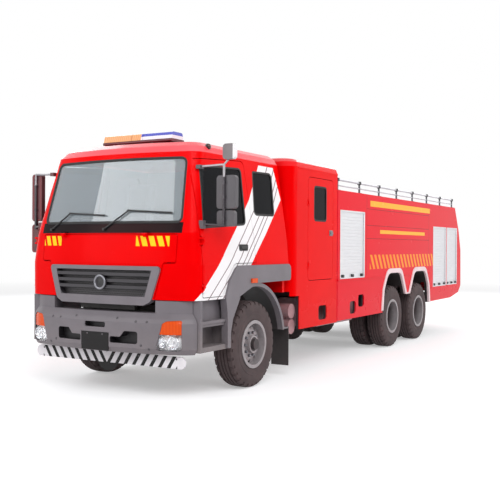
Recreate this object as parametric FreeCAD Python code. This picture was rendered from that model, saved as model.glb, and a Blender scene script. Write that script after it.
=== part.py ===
"""A 6x4 fire truck: chassis, cab, crew cabin and equipment body, one STEP file per piece.

Millimetres. +Z is up and the tyres stand on z = 0. The truck faces -Y, and its left side is +X.
The origin is on the ground at the middle of its length and width.
"""
import FreeCAD
import Part
import math
import os

V = FreeCAD.Vector

# ---------------------------------------------------------------- driving dimensions
# along the truck
FRONT_OVERHANG = 1483.0     # foremost point of the bumper to the front axle
WHEELBASE = 4733.0          # front axle to the first rear axle
TANDEM = 1361.0             # first to second rear axle
REAR_OVERHANG = 2723.0      # second rear axle to the tail panel
LENGTH = FRONT_OVERHANG + WHEELBASE + TANDEM + REAR_OVERHANG
LADDER_R = 14.0
LADDER_OUT = 42.0           # ladder stiles behind the tail panel
FRONT = -(LENGTH + LADDER_OUT + LADDER_R) / 2
AXLE_F = FRONT + FRONT_OVERHANG
AXLE_M = AXLE_F + WHEELBASE
AXLE_R = AXLE_M + TANDEM
TAIL = AXLE_R + REAR_OVERHANG

# across the truck
BODY_HALF = 1250.0          # middle of the truck to the body's side
CREW_HALF = BODY_HALF - 5
BELT_HALF = BODY_HALF - 10  # widest line of the cab
WAIST_HALF = BELT_HALF - 35
EAVES_HALF = BELT_HALF - 180
BUMPER_HALF = BODY_HALF + 10  # where the bumper's rounded ends would meet the sides
WIDE = BODY_HALF + 60       # clear of every side panel

# gaps
SEAT_GAP = 0.3              # between pieces that sit against each other
DOOR_GAP = 8.0              # round a door or a lid

# tyres and rims
TYRE_R = 522.5
TYRE_W = 285.0
RIM_SEAT_R = 262.0          # where the tyre grips the rim
TWIN_GAP = 45.0             # between the two tyres of a twin wheel
WHEEL_OUT = BODY_HALF - 22  # outer face of every outer tyre from the middle
HUB_R = 105.0

# chassis
RAIL_X = 425.0              # outer face of a frame rail
RAIL_W = 80.0
RAIL_H = 270.0
RAIL_T = 9.0
RAIL_TOP = 1020.0
KING_X = WHEEL_OUT - 253    # king pin from the middle
KING_PIN_R = 22.0
AXLE_DROP = 55.0            # front beam below the wheel centre

# cab
CAB_SETBACK = 100.0         # front face behind the bumper
CAB_DEPTH = 2230.0          # front face to rear wall
CAB_SILL = 1110.0
CAB_FLOOR = 1300.0
CAB_BELT = 1500.0
CAB_WAIST = 1850.0
CAB_EAVES = 2765.0
CAB_ROOF = 2930.0
CAB_WALL = 55.0
CAB_BOW = 110.0             # how far the front bulges at its middle
CAB_CORNER = 170.0
FACE = FRONT + CAB_SETBACK
CAB_BACK = FACE + CAB_DEPTH
GLASS_T = 8.0
GLASS_INSET = 10.0          # glass behind the outer skin

# crew cabin
CREW_GAP = 70.0             # rubber bellows between cab and crew cabin
CREW_DEPTH = 1450.0
CREW_SKIRT = 605.0
CREW_FLOOR = 1180.0
CREW_EAVES = 2765.0
CREW_ROOF = 2895.0
CREW_WALL = 50.0
CREW_FRONT = CAB_BACK + CREW_GAP
CREW_BACK = CREW_FRONT + CREW_DEPTH

# equipment body
BODY_GAP = 8.0
BODY_WALL = 50.0
BODY_DECK = 2540.0
BODY_FLOOR = 1110.0
BODY_SKIRT = 620.0
REAR_SKIRT = 655.0
BODY_FRONT = CREW_BACK + BODY_GAP
FLOOR_T = 40.0
SHUTTER_T = 22.0
SHUTTER_INSET = 14.0

# bumper
BUMPER_BOW = 100.0
BUMPER_CORNER = 420.0
BUMPER_DEPTH = 290.0
WING_SETBACK = 78.0
WING_IN = 745.0             # inner end of the wall above each end of the bumper
BUMPER_BOTTOM = 520.0
BUMPER_TOP = 965.0
STEP_LOW = 540.0


# wheels and axles
KNUCKLE_SPINDLE_R = 40.0
REAR_STUB_R = 62.0
TUBE_HALF = WHEEL_OUT - 2 * TYRE_W - TWIN_GAP - 12
FORK_H = 110.0
KNUCKLE_H = 210.0
SPRING_HALF = 720.0
SPRING_T = 12.0
REAR_SPRING_SEAT = TYRE_R + 75
SHAFT_R = 50.0
SHAFT_Z = TYRE_R + 30
BAR_Z = 655.0               # underrun bar at the tail
RAIL_FRONT = FRONT + BUMPER_DEPTH
RAIL_BACK = TAIL - 190
GEARBOX_BACK = CAB_BACK + 700
TANK_FRONT = CREW_FRONT + 1150

# openings, hinges and fittings of the cab
DOOR_FRONT = FACE + 235
DOOR_BACK = FACE + 1395
DOOR_TOP = 2740.0
FENDER_TOP = 1480.0
FENDER_BACK = CAB_BACK + 30
ARCH_R = 700.0
LID_TOP = 1838.0
LID_HALF = WAIST_HALF - 220
GRILLE_TOP = 1478.0
GRILLE_TOP_HALF = BELT_HALF - 425
GRILLE_LOW_HALF = GRILLE_TOP_HALF - 125
GRILLE_LOW = 1045.0
GRILLE_SLATS = 3
PASS_HALF = 420.0           # opening between cab and crew cabin
PASS_LOW = 1750.0
PASS_HIGH = 2350.0
TUNNEL_TOP = 1520.0
TUNNEL_HALF = 370.0
RAD_HALF = 400.0
HINGE_R = 9.0
HINGE_ZS = (1240.0, 1760.0)
HINGE_X = BELT_HALF + 3
DOOR_HINGE_Y = DOOR_FRONT + DOOR_GAP + 6
LID_HINGE_XS = (-600.0, 600.0)
LID_AXIS_Z = LID_TOP + 2
LIGHT_BAR_Y = FACE + 760
LIGHT_BAR_HALF = 520.0
LIGHT_BAR_LIFT = 6.0        # base of the light bar above the roof
DRIVER_X = 620.0

# lamps and boards at the front
PLATE_SEAT = 15.0
LAMP_SPLIT = 742.0
BOARD_HALF = BODY_HALF - 155
LAMP_OUT = BELT_HALF - 158
BOARD_LOW = 364.0
BOARD_HIGH = 497.0
BOARD_Y = FRONT + 215

# mirrors
MIRROR_X = BELT_HALF + 165
MIRROR_Y = DOOR_FRONT + 150
MIRROR_TOP = 2594.0
MIRROR_LOW = 1945.0

# crew doors
CREW_DOOR_FRONT = CREW_FRONT + 480
CREW_DOOR_BACK = CREW_FRONT + 1300
CREW_DOOR_TOP = 2660.0
CREW_HINGE_ZS = (1450.0, 2300.0)
CREW_HINGE_X = CREW_HALF + 3
CREW_HINGE_Y = CREW_DOOR_FRONT + DOOR_GAP + 6

# openings and fittings of the equipment body
BOGIE = (AXLE_M + AXLE_R) / 2
HALF_TANDEM = TANDEM / 2
ARCH_TOP = 1275.0
ARCH_LOW = 500.0
WHEEL_BOX_X = 540.0
TAIL_LEAN = 460.0           # how far the top of the tail stands forward of its foot
SHUTTER_LOW = 1240.0
SHUTTER_HIGH = 2240.0
REAR_SHUTTER_LOW = 950.0
REAR_SHUTTER_HIGH = 2100.0
LOCKER_SEAM = TAIL - 2190
REAR_DOOR_HALF = 560.0
REAR_DOOR_LOW = 960.0
REAR_DOOR_HIGH = 1590.0
RAIL_POSTS = 8
RAIL_FIRST = BODY_FRONT + 105
RAIL_LAST = TAIL - 510
RAIL_TUBE_R = 17.0
ROOF_RAIL_Z = 2700.0
LADDER_X = -880.0
PAD_H = 30.0                # flat pad on the deck for a water monitor

CROSS_STATIONS = [
    RAIL_FRONT + 60, CAB_BACK + 20, CREW_BACK - 200, AXLE_M - 830, BOGIE, AXLE_R + 830, RAIL_BACK - 60]


# ---------------------------------------------------------------- shapes
def box(x0, x1, y0, y1, z0, z1):
    """Box between two corners."""
    return Part.makeBox(x1 - x0, y1 - y0, z1 - z0, V(x0, y0, z0))


def rod(start, end, radius):
    """Round bar from one point to another."""
    along = end - start
    return Part.makeCylinder(radius, along.Length, start, along)


def tube_run(points, radius):
    """Round tube through a list of points, with a ball at each turn."""
    shape = rod(points[0], points[1], radius)
    for start, end in zip(points[1:], points[2:]):
        shape = shape.fuse(Part.makeSphere(radius, start))
        shape = shape.fuse(rod(start, end, radius))
    return shape


def fused(shapes):
    """One solid from several that touch or overlap."""
    shape = shapes[0].multiFuse(shapes[1:])
    return shape.removeSplitter()


def cut_all(shape, tools):
    """A shape less a list of tools."""
    for tool in tools:
        shape = shape.cut(tool)
    return shape


def mirrored(shape):
    """The same shape on the other side of the truck."""
    return shape.mirror(V(0, 0, 0), V(1, 0, 0))


def both(shape):
    """A shape and its twin on the other side."""
    return [shape, mirrored(shape)]


def outline(points, place):
    """Closed wire through (a, b) or (a, b, corner radius) points; place(a, b) gives the 3-D point."""
    runs = []
    for index, point in enumerate(points):
        before = points[index - 1]
        after = points[(index + 1) % len(points)]
        corner = V(point[0], point[1], 0)
        radius = point[2] if len(point) > 2 else 0
        if not radius:
            runs.append((corner, None, corner))
            continue
        to_before = (V(before[0], before[1], 0) - corner).normalize()
        to_after = (V(after[0], after[1], 0) - corner).normalize()
        half = to_before.getAngle(to_after) / 2
        reach = radius / math.tan(half)
        bisector = (to_before + to_after).normalize()
        middle = corner + bisector * (radius / math.sin(half) - radius)
        runs.append((corner + to_before * reach, middle, corner + to_after * reach))
    edges = []
    for index, (start, middle, end) in enumerate(runs):
        following = runs[(index + 1) % len(runs)][0]
        if middle:
            edges.append(Part.Arc(place(start.x, start.y), place(middle.x, middle.y),
                                  place(end.x, end.y)).toShape())
        if (following - end).Length > 1e-6:
            edges.append(Part.LineSegment(place(end.x, end.y), place(following.x, following.y)).toShape())
    return Part.Wire(Part.__sortEdges__(edges))


def prism_x(points, x0, x1):
    """Outline in (y, z) pushed along X."""
    wire = outline(points, lambda a, b: V(x0, a, b))
    return Part.Face(wire).extrude(V(x1 - x0, 0, 0))


def prism_y(points, y0, y1):
    """Outline in (x, z) pushed along Y."""
    wire = outline(points, lambda a, b: V(a, y0, b))
    return Part.Face(wire).extrude(V(0, y1 - y0, 0))


def prism_z(points, z0, z1):
    """Outline in (x, y) pushed along Z."""
    wire = outline(points, lambda a, b: V(a, b, z0))
    return Part.Face(wire).extrude(V(0, 0, z1 - z0))


def frame_x(points, inner, x0, x1):
    """Prism along X with a window in it."""
    return prism_x(points, x0, x1).cut(prism_x(inner, x0 - 1, x1 + 1))


def rect(a0, a1, b0, b1, radius=0.0):
    """Corner points of a rectangle, with one corner radius."""
    return [(a0, b0, radius), (a1, b0, radius), (a1, b1, radius), (a0, b1, radius)]


def shrunk_rect(a0, a1, b0, b1, radius, gap):
    """A rectangle smaller by a gap all round."""
    return rect(a0 + gap, a1 - gap, b0 + gap, b1 - gap, max(radius - gap, 1.0))


def disc_x(centre_y, centre_z, radius, x0, x1):
    """Round disc or bore along X."""
    return Part.makeCylinder(radius, x1 - x0, V(x0, centre_y, centre_z), V(1, 0, 0))


def turned_x(points, centre_y, centre_z):
    """Profile in (x, radius) spun round an axis along X."""
    wire = outline(points, lambda a, b: V(a, centre_y, centre_z + b))
    return Part.Face(wire).revolve(V(0, centre_y, centre_z), V(1, 0, 0), 360)


def save(name, shapes):
    """Write one piece, or like pieces that don't touch, to its STEP file."""
    if isinstance(shapes, list):
        shape = Part.makeCompound(shapes)
    else:
        shape = shapes
    solids = shape.Solids
    assert solids and shape.isValid(), name
    Part.makeCompound(solids).exportStep("parts/" + name + ".step")
    print(name, len(solids), "solids", round(shape.Volume / 1e9, 4), "m3")


# ---------------------------------------------------------------- wheels
def tyre(outer_x):
    """One tyre, outer face at outer_x, as a closed ring with rounded shoulders."""
    inner_x = outer_x - TYRE_W
    shoulder = 38.0
    bulge = 14.0
    points = [
        (inner_x + bulge, RIM_SEAT_R), (inner_x, TYRE_R - 150, 60), (inner_x + bulge, TYRE_R, shoulder),
        (outer_x - bulge, TYRE_R, shoulder), (outer_x, TYRE_R - 150, 60), (outer_x - bulge, RIM_SEAT_R)]
    return turned_x(points, 0, 0)


def rim_barrel(outer_x):
    """Rim: a barrel with a turned-out flange at each side, under one tyre."""
    inner_x = outer_x - TYRE_W
    wall = 12.0
    flange_r = RIM_SEAT_R + 28
    lip = 10.0
    points = [
        (inner_x, flange_r), (inner_x + lip, flange_r), (inner_x + lip + 4, RIM_SEAT_R),
        (outer_x - lip - 4, RIM_SEAT_R),
        (outer_x - lip, flange_r), (outer_x, flange_r), (outer_x, RIM_SEAT_R - wall),
        (inner_x, RIM_SEAT_R - wall)]
    return turned_x(points, 0, 0)


def rim_disc(face_x, dish):
    """Wheel disc: a bolted centre, a cone out to the barrel and ten round hand holes."""
    plate = 14.0
    bolt_r = 170.0
    hand_hole_r = 26.0
    hand_ring_r = 212.0
    outer_r = RIM_SEAT_R - 12
    points = [
        (face_x, HUB_R - 25), (face_x + plate, HUB_R - 25), (face_x + plate, bolt_r),
        (face_x + dish + plate, outer_r),
        (face_x + dish, outer_r), (face_x, bolt_r)]
    disc = turned_x(points, 0, 0)
    holes = []
    for index in range(10):
        angle = math.radians(36 * index + 18)
        y = hand_ring_r * math.cos(angle)
        z = hand_ring_r * math.sin(angle)
        holes.append(disc_x(y, z, hand_hole_r, face_x - abs(dish) - 60, face_x + abs(dish) + 60))
    return cut_all(disc, holes)


def hub_and_nuts(face_x, out, length):
    """Hub boss with a ring of ten wheel nuts. out is +1 or -1 along X."""
    boss = Part.makeCylinder(HUB_R, length, V(face_x - out * length * 0.45, 0, 0), V(out, 0, 0))
    cap = Part.makeCylinder(HUB_R * 0.62, 34, V(face_x + out * length * 0.55, 0, 0), V(out, 0, 0))
    ring_r = 142.0
    pieces = [boss, cap]
    for index in range(10):
        angle = math.radians(36 * index)
        base = V(face_x, ring_r * math.cos(angle), ring_r * math.sin(angle))
        pieces.append(Part.makeCylinder(15, 40, base, V(out, 0, 0)))
    return pieces


def front_wheel():
    """Front tyre and rim of the left side, centred on the axle."""
    tyre_solid = tyre(WHEEL_OUT)
    face = WHEEL_OUT - 75
    drum = turned_x([(KING_X + 60, 60), (face, 60), (face, 195), (KING_X + 60, 195)], 0, 0)
    bore = disc_x(0, 0, KNUCKLE_SPINDLE_R + SEAT_GAP, KING_X, face - 25)
    parts = [rim_barrel(WHEEL_OUT), rim_disc(face, -30), drum] + hub_and_nuts(face, 1, 120)
    rim = fused(parts).cut(bore)
    knuckle_room = disc_x(0, 0, 150, KING_X + 50, KING_X + 100)
    return tyre_solid, rim.cut(knuckle_room)


def rear_wheel():
    """Twin tyres and rims of the left side on one hub, centred on the axle."""
    inner_out = WHEEL_OUT - TYRE_W - TWIN_GAP
    tyres = [tyre(WHEEL_OUT), tyre(inner_out)]
    face = WHEEL_OUT - TYRE_W + 30
    barrels = [rim_barrel(WHEEL_OUT), rim_barrel(inner_out)]
    spacer = turned_x([(inner_out - 20, RIM_SEAT_R - 12), (inner_out - 20, RIM_SEAT_R - 40),
                       (WHEEL_OUT - TYRE_W + 20, RIM_SEAT_R - 40),
                       (WHEEL_OUT - TYRE_W + 20, RIM_SEAT_R - 12)], 0, 0)
    hub = hub_and_nuts(face, 1, 210)
    rim = fused(barrels + [spacer, rim_disc(face, -42)] + hub)
    return tyres, rim.cut(disc_x(0, 0, REAR_STUB_R + SEAT_GAP, inner_out - TYRE_W, face + 60))


def moved_to(shape, axle_y):
    """Copy of a wheel piece carried from the origin to its axle."""
    copy = shape.copy()
    copy.translate(V(0, axle_y, TYRE_R))
    return copy


def save_wheels():
    """Six wheels: two steered singles and four twins."""
    tyre_solid, rim = front_wheel()
    save("tyre_front_left", moved_to(tyre_solid, AXLE_F))
    save("rim_front_left", moved_to(rim, AXLE_F))
    save("tyre_front_right", moved_to(mirrored(tyre_solid), AXLE_F))
    save("rim_front_right", moved_to(mirrored(rim), AXLE_F))
    tyres, twin_rim = rear_wheel()
    for place, axle_y in (("middle", AXLE_M), ("rear", AXLE_R)):
        save("tyres_" + place + "_left", [moved_to(one, axle_y) for one in tyres])
        save("rims_" + place + "_left", moved_to(twin_rim, axle_y))
        save("tyres_" + place + "_right", [moved_to(mirrored(one), axle_y) for one in tyres])
        save("rims_" + place + "_right", moved_to(mirrored(twin_rim), axle_y))


# ---------------------------------------------------------------- chassis
def rail(x_out, y0, y1):
    """C-section frame rail of the left side, open towards the middle."""
    z0 = RAIL_TOP - RAIL_H
    whole = box(x_out - RAIL_W, x_out, y0, y1, z0, RAIL_TOP)
    hollow = box(x_out - RAIL_W - 1, x_out - RAIL_T, y0 - 1, y1 + 1, z0 + RAIL_T, RAIL_TOP - RAIL_T)
    return whole.cut(hollow)


def save_chassis():
    """Ladder frame: rails with their spring hangers, cross members and the rear underrun bar."""
    z0 = RAIL_TOP - RAIL_H
    hangers = [box(RAIL_X - RAIL_W, RAIL_X, y - 35, y + 35, z0 - 120, z0)
               for y in (AXLE_F - SPRING_HALF, AXLE_F + SPRING_HALF)]
    bogie_seat = box(RAIL_X - RAIL_W, RAIL_X, BOGIE - 90, BOGIE + 90, z0 - 110, z0)
    pieces = both(fused([rail(RAIL_X, RAIL_FRONT, RAIL_BACK), bogie_seat] + hangers))
    reach = RAIL_X - RAIL_T - SEAT_GAP
    high = RAIL_TOP - RAIL_T - SEAT_GAP
    pieces += [box(-reach, reach, y - 40, y + 40, z0 + 75, high) for y in CROSS_STATIONS]
    bar_y = RAIL_BACK - 80
    bar = box(250 - BODY_HALF, BODY_HALF - 250, bar_y - 50, bar_y + 50, BAR_Z, BAR_Z + 80)
    drops = both(box(RAIL_X - 70, RAIL_X - 10, bar_y - 45, bar_y + 45, BAR_Z + 80, z0 - SEAT_GAP))
    pieces.append(fused([bar] + drops))
    save("chassis_frame", pieces)


def spring_front():
    """Front leaf spring: six leaves, each shorter, under the left rail."""
    top = RAIL_TOP - RAIL_H - 120 - SEAT_GAP
    pieces = []
    for leaf in range(6):
        half = SPRING_HALF + 35 - 95 * leaf
        low = top - SPRING_T * (leaf + 1)
        pieces.append(box(RAIL_X - 75, RAIL_X - 5, AXLE_F - half, AXLE_F + half, low, low + SPRING_T))
    return fused(pieces)


def spring_rear():
    """Rear bogie spring: leaves longest at the bottom, reaching over both axles, left side."""
    top = RAIL_TOP - RAIL_H - 110 - SEAT_GAP
    middle = (AXLE_M + AXLE_R) / 2
    half_reach = TANDEM / 2
    leaves = 4
    pieces = []
    for leaf in range(leaves):
        half = half_reach + 60 - 150 * leaf
        low = REAR_SPRING_SEAT + SEAT_GAP + 10 * leaf
        pieces.append(box(RAIL_X - 75, RAIL_X - 5, middle - half, middle + half, low, low + 10))
    pieces.append(box(RAIL_X - 75, RAIL_X - 5, middle - 80, middle + 80, REAR_SPRING_SEAT + 20, top))
    return fused(pieces)


def front_beam():
    """Dropped front axle beam with a fork for the king pin at each end."""
    z_mid = TYRE_R - AXLE_DROP
    beam = box(-KING_X + 70, KING_X - 70, AXLE_F - 45, AXLE_F + 45, z_mid - 45, z_mid + 45)
    seat_top = RAIL_TOP - RAIL_H - 120 - SEAT_GAP - 6 * SPRING_T - SEAT_GAP
    pads = both(box(RAIL_X - 80, RAIL_X, AXLE_F - 60, AXLE_F + 60, z_mid, seat_top))
    eye = Part.makeCylinder(48, FORK_H, V(KING_X, AXLE_F, TYRE_R - FORK_H / 2))
    arm = box(KING_X - 110, KING_X, AXLE_F - 38, AXLE_F + 38, TYRE_R - FORK_H / 2, TYRE_R + FORK_H / 2 - 20)
    pin = Part.makeCylinder(KING_PIN_R, KNUCKLE_H, V(KING_X, AXLE_F, TYRE_R - KNUCKLE_H / 2 + SEAT_GAP))
    ends = both(fused([eye, arm, pin]))
    return fused([beam] + pads + ends)


def rear_banjo(axle_y):
    """Driven rear axle: a round centre case, tubes to both sides and the stubs the hubs turn on."""
    centre = V(0, axle_y, TYRE_R)
    case = Part.makeSphere(195, centre)
    tubes = Part.makeCylinder(75, 2 * TUBE_HALF, V(-TUBE_HALF, axle_y, TYRE_R), V(1, 0, 0))
    stub_half = WHEEL_OUT - TYRE_W + 60
    stubs = Part.makeCylinder(REAR_STUB_R, 2 * stub_half, V(-stub_half, axle_y, TYRE_R), V(1, 0, 0))
    pads = both(box(RAIL_X - 80, RAIL_X, axle_y - 60, axle_y + 60, TYRE_R, REAR_SPRING_SEAT))
    nose = Part.makeCylinder(85, 280, V(0, axle_y, TYRE_R + 30), V(0, -1, 0))
    return fused([case, tubes, stubs, nose] + pads)


def save_running_gear():
    """Axles, drive shafts, springs, engine and what hangs beside the frame."""
    nose_m = AXLE_M - 280 - SEAT_GAP
    nose_r = AXLE_R - 280 - SEAT_GAP
    flange = 70.0
    gearbox_z = RAIL_TOP - 250
    gearbox_flange = rod(V(0, GEARBOX_BACK + SEAT_GAP, gearbox_z), V(0, GEARBOX_BACK + flange, gearbox_z),
                         SHAFT_R + 8)
    axle_flange = rod(V(0, nose_m - flange, SHAFT_Z), V(0, nose_m, SHAFT_Z), SHAFT_R + 8)
    tilted = rod(V(0, GEARBOX_BACK + flange * 0.7, gearbox_z), V(0, nose_m - flange * 0.7, SHAFT_Z), SHAFT_R)
    long_shaft = fused([gearbox_flange, tilted, axle_flange])
    short_shaft = rod(V(0, AXLE_M + 195 + SEAT_GAP, SHAFT_Z), V(0, nose_r, SHAFT_Z), SHAFT_R)
    save("axles", [front_beam(), rear_banjo(AXLE_M), rear_banjo(AXLE_R)])
    save("drive_shafts", [long_shaft, short_shaft])
    save("leaf_springs", both(spring_front()) + both(spring_rear()))
    engine_y0 = FACE + 480
    engine = box(-300, 300, engine_y0, CAB_BACK - 250, 690, TUNNEL_TOP - 70)
    gearbox = box(-190, 190, CAB_BACK - 250, GEARBOX_BACK, 640, RAIL_TOP - RAIL_H + 70)
    core = box(-RAD_HALF, RAD_HALF, FACE + 112, FACE + 182, BUMPER_TOP + 15, CAB_BELT - 60)
    stays = both(box(250, 300, FACE + 182, RAIL_FRONT + 20 - SEAT_GAP, BUMPER_TOP + 15, RAIL_TOP - 15))
    radiator = fused([core] + stays)
    mounts = both(box(300, RAIL_X - RAIL_W - SEAT_GAP, engine_y0 + 200, engine_y0 + 320, 860, 960))
    save("engine", [fused([engine, gearbox] + mounts), radiator])
    save("side_tanks", side_tanks())


def side_tanks():
    """Fuel tank on the left, battery box on the right and an air tank behind each front wheel."""
    inner = RAIL_X + SEAT_GAP
    tank = prism_y(rect(inner, BODY_HALF - 160, 548, 955, 60), TANK_FRONT, TANK_FRONT + 1250)
    battery = prism_y(rect(160 - BODY_HALF, -inner, 570, 955, 20), TANK_FRONT, TANK_FRONT + 800)
    air_y = CREW_FRONT + 135
    carrier_x = RAIL_X + SEAT_GAP
    pieces = []
    for z in (645, 850):
        pieces.append(Part.makeCylinder(98, 480, V(700, air_y, z), V(1, 0, 0)))
    pieces.append(box(carrier_x, 720, air_y - 60, air_y + 60, 800, 900))
    pieces.append(box(700, BODY_HALF - 150, air_y - 20, air_y + 20, 645, 850))
    air_tanks = fused(pieces)
    return [tank, battery] + both(air_tanks)


# ---------------------------------------------------------------- steering
def knuckle():
    """Left steering knuckle: two lugs on the king pin, the wheel spindle and a steering arm."""
    lug_h = (KNUCKLE_H - FORK_H) / 2 - 6
    low = Part.makeCylinder(46, lug_h, V(KING_X, AXLE_F, TYRE_R - KNUCKLE_H / 2))
    high = Part.makeCylinder(46, lug_h, V(KING_X, AXLE_F, TYRE_R + KNUCKLE_H / 2 - lug_h))
    back = box(KING_X + 54, KING_X + 90, AXLE_F - 46, AXLE_F + 46, TYRE_R - KNUCKLE_H / 2,
               TYRE_R + KNUCKLE_H / 2)
    webs = []
    for z in (TYRE_R - KNUCKLE_H / 2, TYRE_R + KNUCKLE_H / 2 - lug_h):
        webs.append(box(KING_X, KING_X + 60, AXLE_F - 40, AXLE_F + 40, z, z + lug_h))
    spindle_end = WHEEL_OUT - 75 - 30
    spindle = Part.makeCylinder(KNUCKLE_SPINDLE_R, spindle_end - KING_X - 60,
                                V(KING_X + 60, AXLE_F, TYRE_R), V(1, 0, 0))
    bore = Part.makeCylinder(KING_PIN_R + 0.05, KNUCKLE_H + 20, V(KING_X, AXLE_F, TYRE_R - KNUCKLE_H / 2))
    arm_z = TYRE_R - KNUCKLE_H / 2
    arm = box(KING_X - 40, KING_X + 30, AXLE_F - 30, AXLE_F + 190, arm_z - 24, arm_z)
    return fused([low, high, back, spindle, arm] + webs).cut(bore)


# ---------------------------------------------------------------- cab
CAB_LEVELS = [
    (CAB_SILL, BELT_HALF - 5, 0.0),
    (CAB_BELT, BELT_HALF, 0.0),
    (CAB_WAIST, WAIST_HALF, 30.0),
    (CAB_EAVES, EAVES_HALF, 250.0),
]
ROOF_LEVELS = [
    (0.0, EAVES_HALF, 250.0),
    (0.45, EAVES_HALF - 50, 310.0),
    (0.78, EAVES_HALF - 140, 410.0),
    (1.0, EAVES_HALF - 330, 640.0),
]


def cab_level(z):
    """Half width and front setback of the cab at a height below the eaves."""
    for low, high in zip(CAB_LEVELS, CAB_LEVELS[1:]):
        if z <= high[0]:
            share = (z - low[0]) / (high[0] - low[0])
            return low[1] + share * (high[1] - low[1]), low[2] + share * (high[2] - low[2])
    return CAB_LEVELS[-1][1:]


def bow_reach(half, bow, corner):
    """Half width at which a bowed front turns into its corner, and its slope there."""
    slope = 2 * math.atan(bow / (half - corner))
    return half - corner * (1 - math.sin(slope)), slope


def bowed_plan(half, front, back, bow, corner, z):
    """Plan outline: straight back and sides, a bowed front and corners that run on from it."""
    reach, slope = bow_reach(half, bow, corner)
    edge = front + bow
    middle = (slope + math.pi / 2) / 2
    points = [
        V(half, back, z), V(half, edge + corner * math.cos(slope), z),
        V(half - corner * (1 - math.sin(middle)), edge + corner * (math.cos(slope) - math.cos(middle)), z),
        V(reach, edge, z), V(0, front, z)]
    right_points = [V(-p.x, p.y, p.z) for p in points]
    left = [Part.LineSegment(points[0], points[1]).toShape(),
            Part.Arc(points[1], points[2], points[3]).toShape()]
    bow_edge = Part.Arc(points[3], points[4], right_points[3]).toShape()
    right = [
        Part.Arc(right_points[3], right_points[2], right_points[1]).toShape(),
        Part.LineSegment(right_points[1], right_points[0]).toShape()]
    closing = Part.LineSegment(right_points[0], points[0]).toShape()
    return Part.Wire(left + [bow_edge] + right + [closing])


def cab_plan(half, front, back, z):
    """Plan of the cab at one height."""
    return bowed_plan(half, front, back, CAB_BOW, CAB_CORNER, z)


def cab_form(inset, z_low):
    """The cab's outer form, or the same form drawn in by inset, from z_low up to the roof."""
    levels = [z_low] + [level[0] for level in CAB_LEVELS if level[0] > z_low]
    wires = []
    for z in levels:
        half, setback = cab_level(z)
        wires.append(cab_plan(half - inset, FACE + setback + inset, CAB_BACK - inset, z))
    lower = Part.makeLoft(wires, True, True)
    rise = CAB_ROOF - CAB_EAVES - inset
    roof_wires = []
    for share, half, setback in ROOF_LEVELS:
        z = CAB_EAVES + share * rise
        roof_wires.append(cab_plan(half - inset, FACE + setback + inset, CAB_BACK - inset, z))
    roof = Part.makeLoft(roof_wires, True, True)
    return lower.fuse(roof)


# side openings of the cab in (y, z), measured back from the front face


def fender_outline(grow):
    """The grey mudguard panel let into the cab's side, grown by a gap."""
    return [
        (AXLE_F - 725 - grow, CAB_SILL - 200), (AXLE_F - 705 - grow, CAB_SILL, 60),
        (AXLE_F - 630 - grow, 1300 + grow, 150), (AXLE_F - 470 - grow, FENDER_TOP + grow, 140),
        (CAB_BACK + 60, FENDER_TOP + grow), (CAB_BACK + 60, CAB_SILL - 200)]


def door_outline(gap):
    """Left or right cab door in (y, z): its lower back edge follows the mudguard."""
    return [
        (DOOR_FRONT + gap, CAB_SILL + 25 + gap, 30), (AXLE_F - 727 - gap, CAB_SILL + 25 + gap, 20),
        (AXLE_F - 652 - gap, 1315 + gap, 140), (AXLE_F - 482 - gap, FENDER_TOP + 22 + gap, 130),
        (DOOR_BACK - gap, FENDER_TOP + 22 + gap, 20), (DOOR_BACK - 40 - gap, DOOR_TOP - gap, 70),
        (DOOR_FRONT + 95 + gap, DOOR_TOP - 60 - gap, 60), (DOOR_FRONT + gap, CAB_WAIST + 40, 60)]


def door_window(gap):
    """Window of a cab door in (y, z)."""
    return [
        (DOOR_FRONT + 60 + gap, 1895 + gap, 40), (DOOR_BACK - 165 - gap, 1955 + gap, 80),
        (DOOR_BACK - 115 - gap, DOOR_TOP - 95 - gap, 60), (DOOR_FRONT + 165 + gap, DOOR_TOP - 130 - gap, 40)]


def quarter_window(gap):
    """Fixed window behind the cab door in (y, z)."""
    return [
        (FACE + 1448 + gap, 2080 + gap, 60), (FACE + 1975 - gap, 2085 + gap, 70),
        (FACE + 2045 - gap, 2645 - gap, 70), (FACE + 1540 + gap, 2635 - gap, 40)]


def windshield_outline(gap):
    """Windshield in (x, z)."""
    low = 1950 + gap
    high = CAB_EAVES - 58 - gap
    low_half = WAIST_HALF - 185 - gap
    high_half = EAVES_HALF - 105 - gap
    return [(-low_half, low, 70), (low_half, low, 70), (high_half, high, 90), (-high_half, high, 90)]


def lid_outline(gap):
    """Front service lid in (x, z): a wide band with the grille's shape below it."""
    band = CAB_BELT + 12 + gap
    low = CAB_SILL - 60
    return [
        (-LID_HALF + gap, LID_TOP - gap, 30), (-LID_HALF + gap, band, 30),
        (-GRILLE_TOP_HALF - 20 + gap, band, 30),
        (-GRILLE_LOW_HALF - 22 + gap, low), (GRILLE_LOW_HALF + 22 - gap, low),
        (GRILLE_TOP_HALF + 20 - gap, band, 30), (LID_HALF - gap, band, 30),
        (LID_HALF - gap, LID_TOP - gap, 30)]


def grille_outline(shrink):
    """Outer edge of the grille in (x, z), drawn in by shrink."""
    return [
        (-GRILLE_TOP_HALF + shrink, GRILLE_TOP - shrink, 40),
        (-GRILLE_LOW_HALF + shrink, 1090 + shrink * 0.6, 60),
        (-600 + shrink, GRILLE_LOW + shrink, 40), (600 - shrink, GRILLE_LOW + shrink, 40),
        (GRILLE_LOW_HALF - shrink, 1090 + shrink * 0.6, 60),
        (GRILLE_TOP_HALF - shrink, GRILLE_TOP - shrink, 40)]


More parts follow.
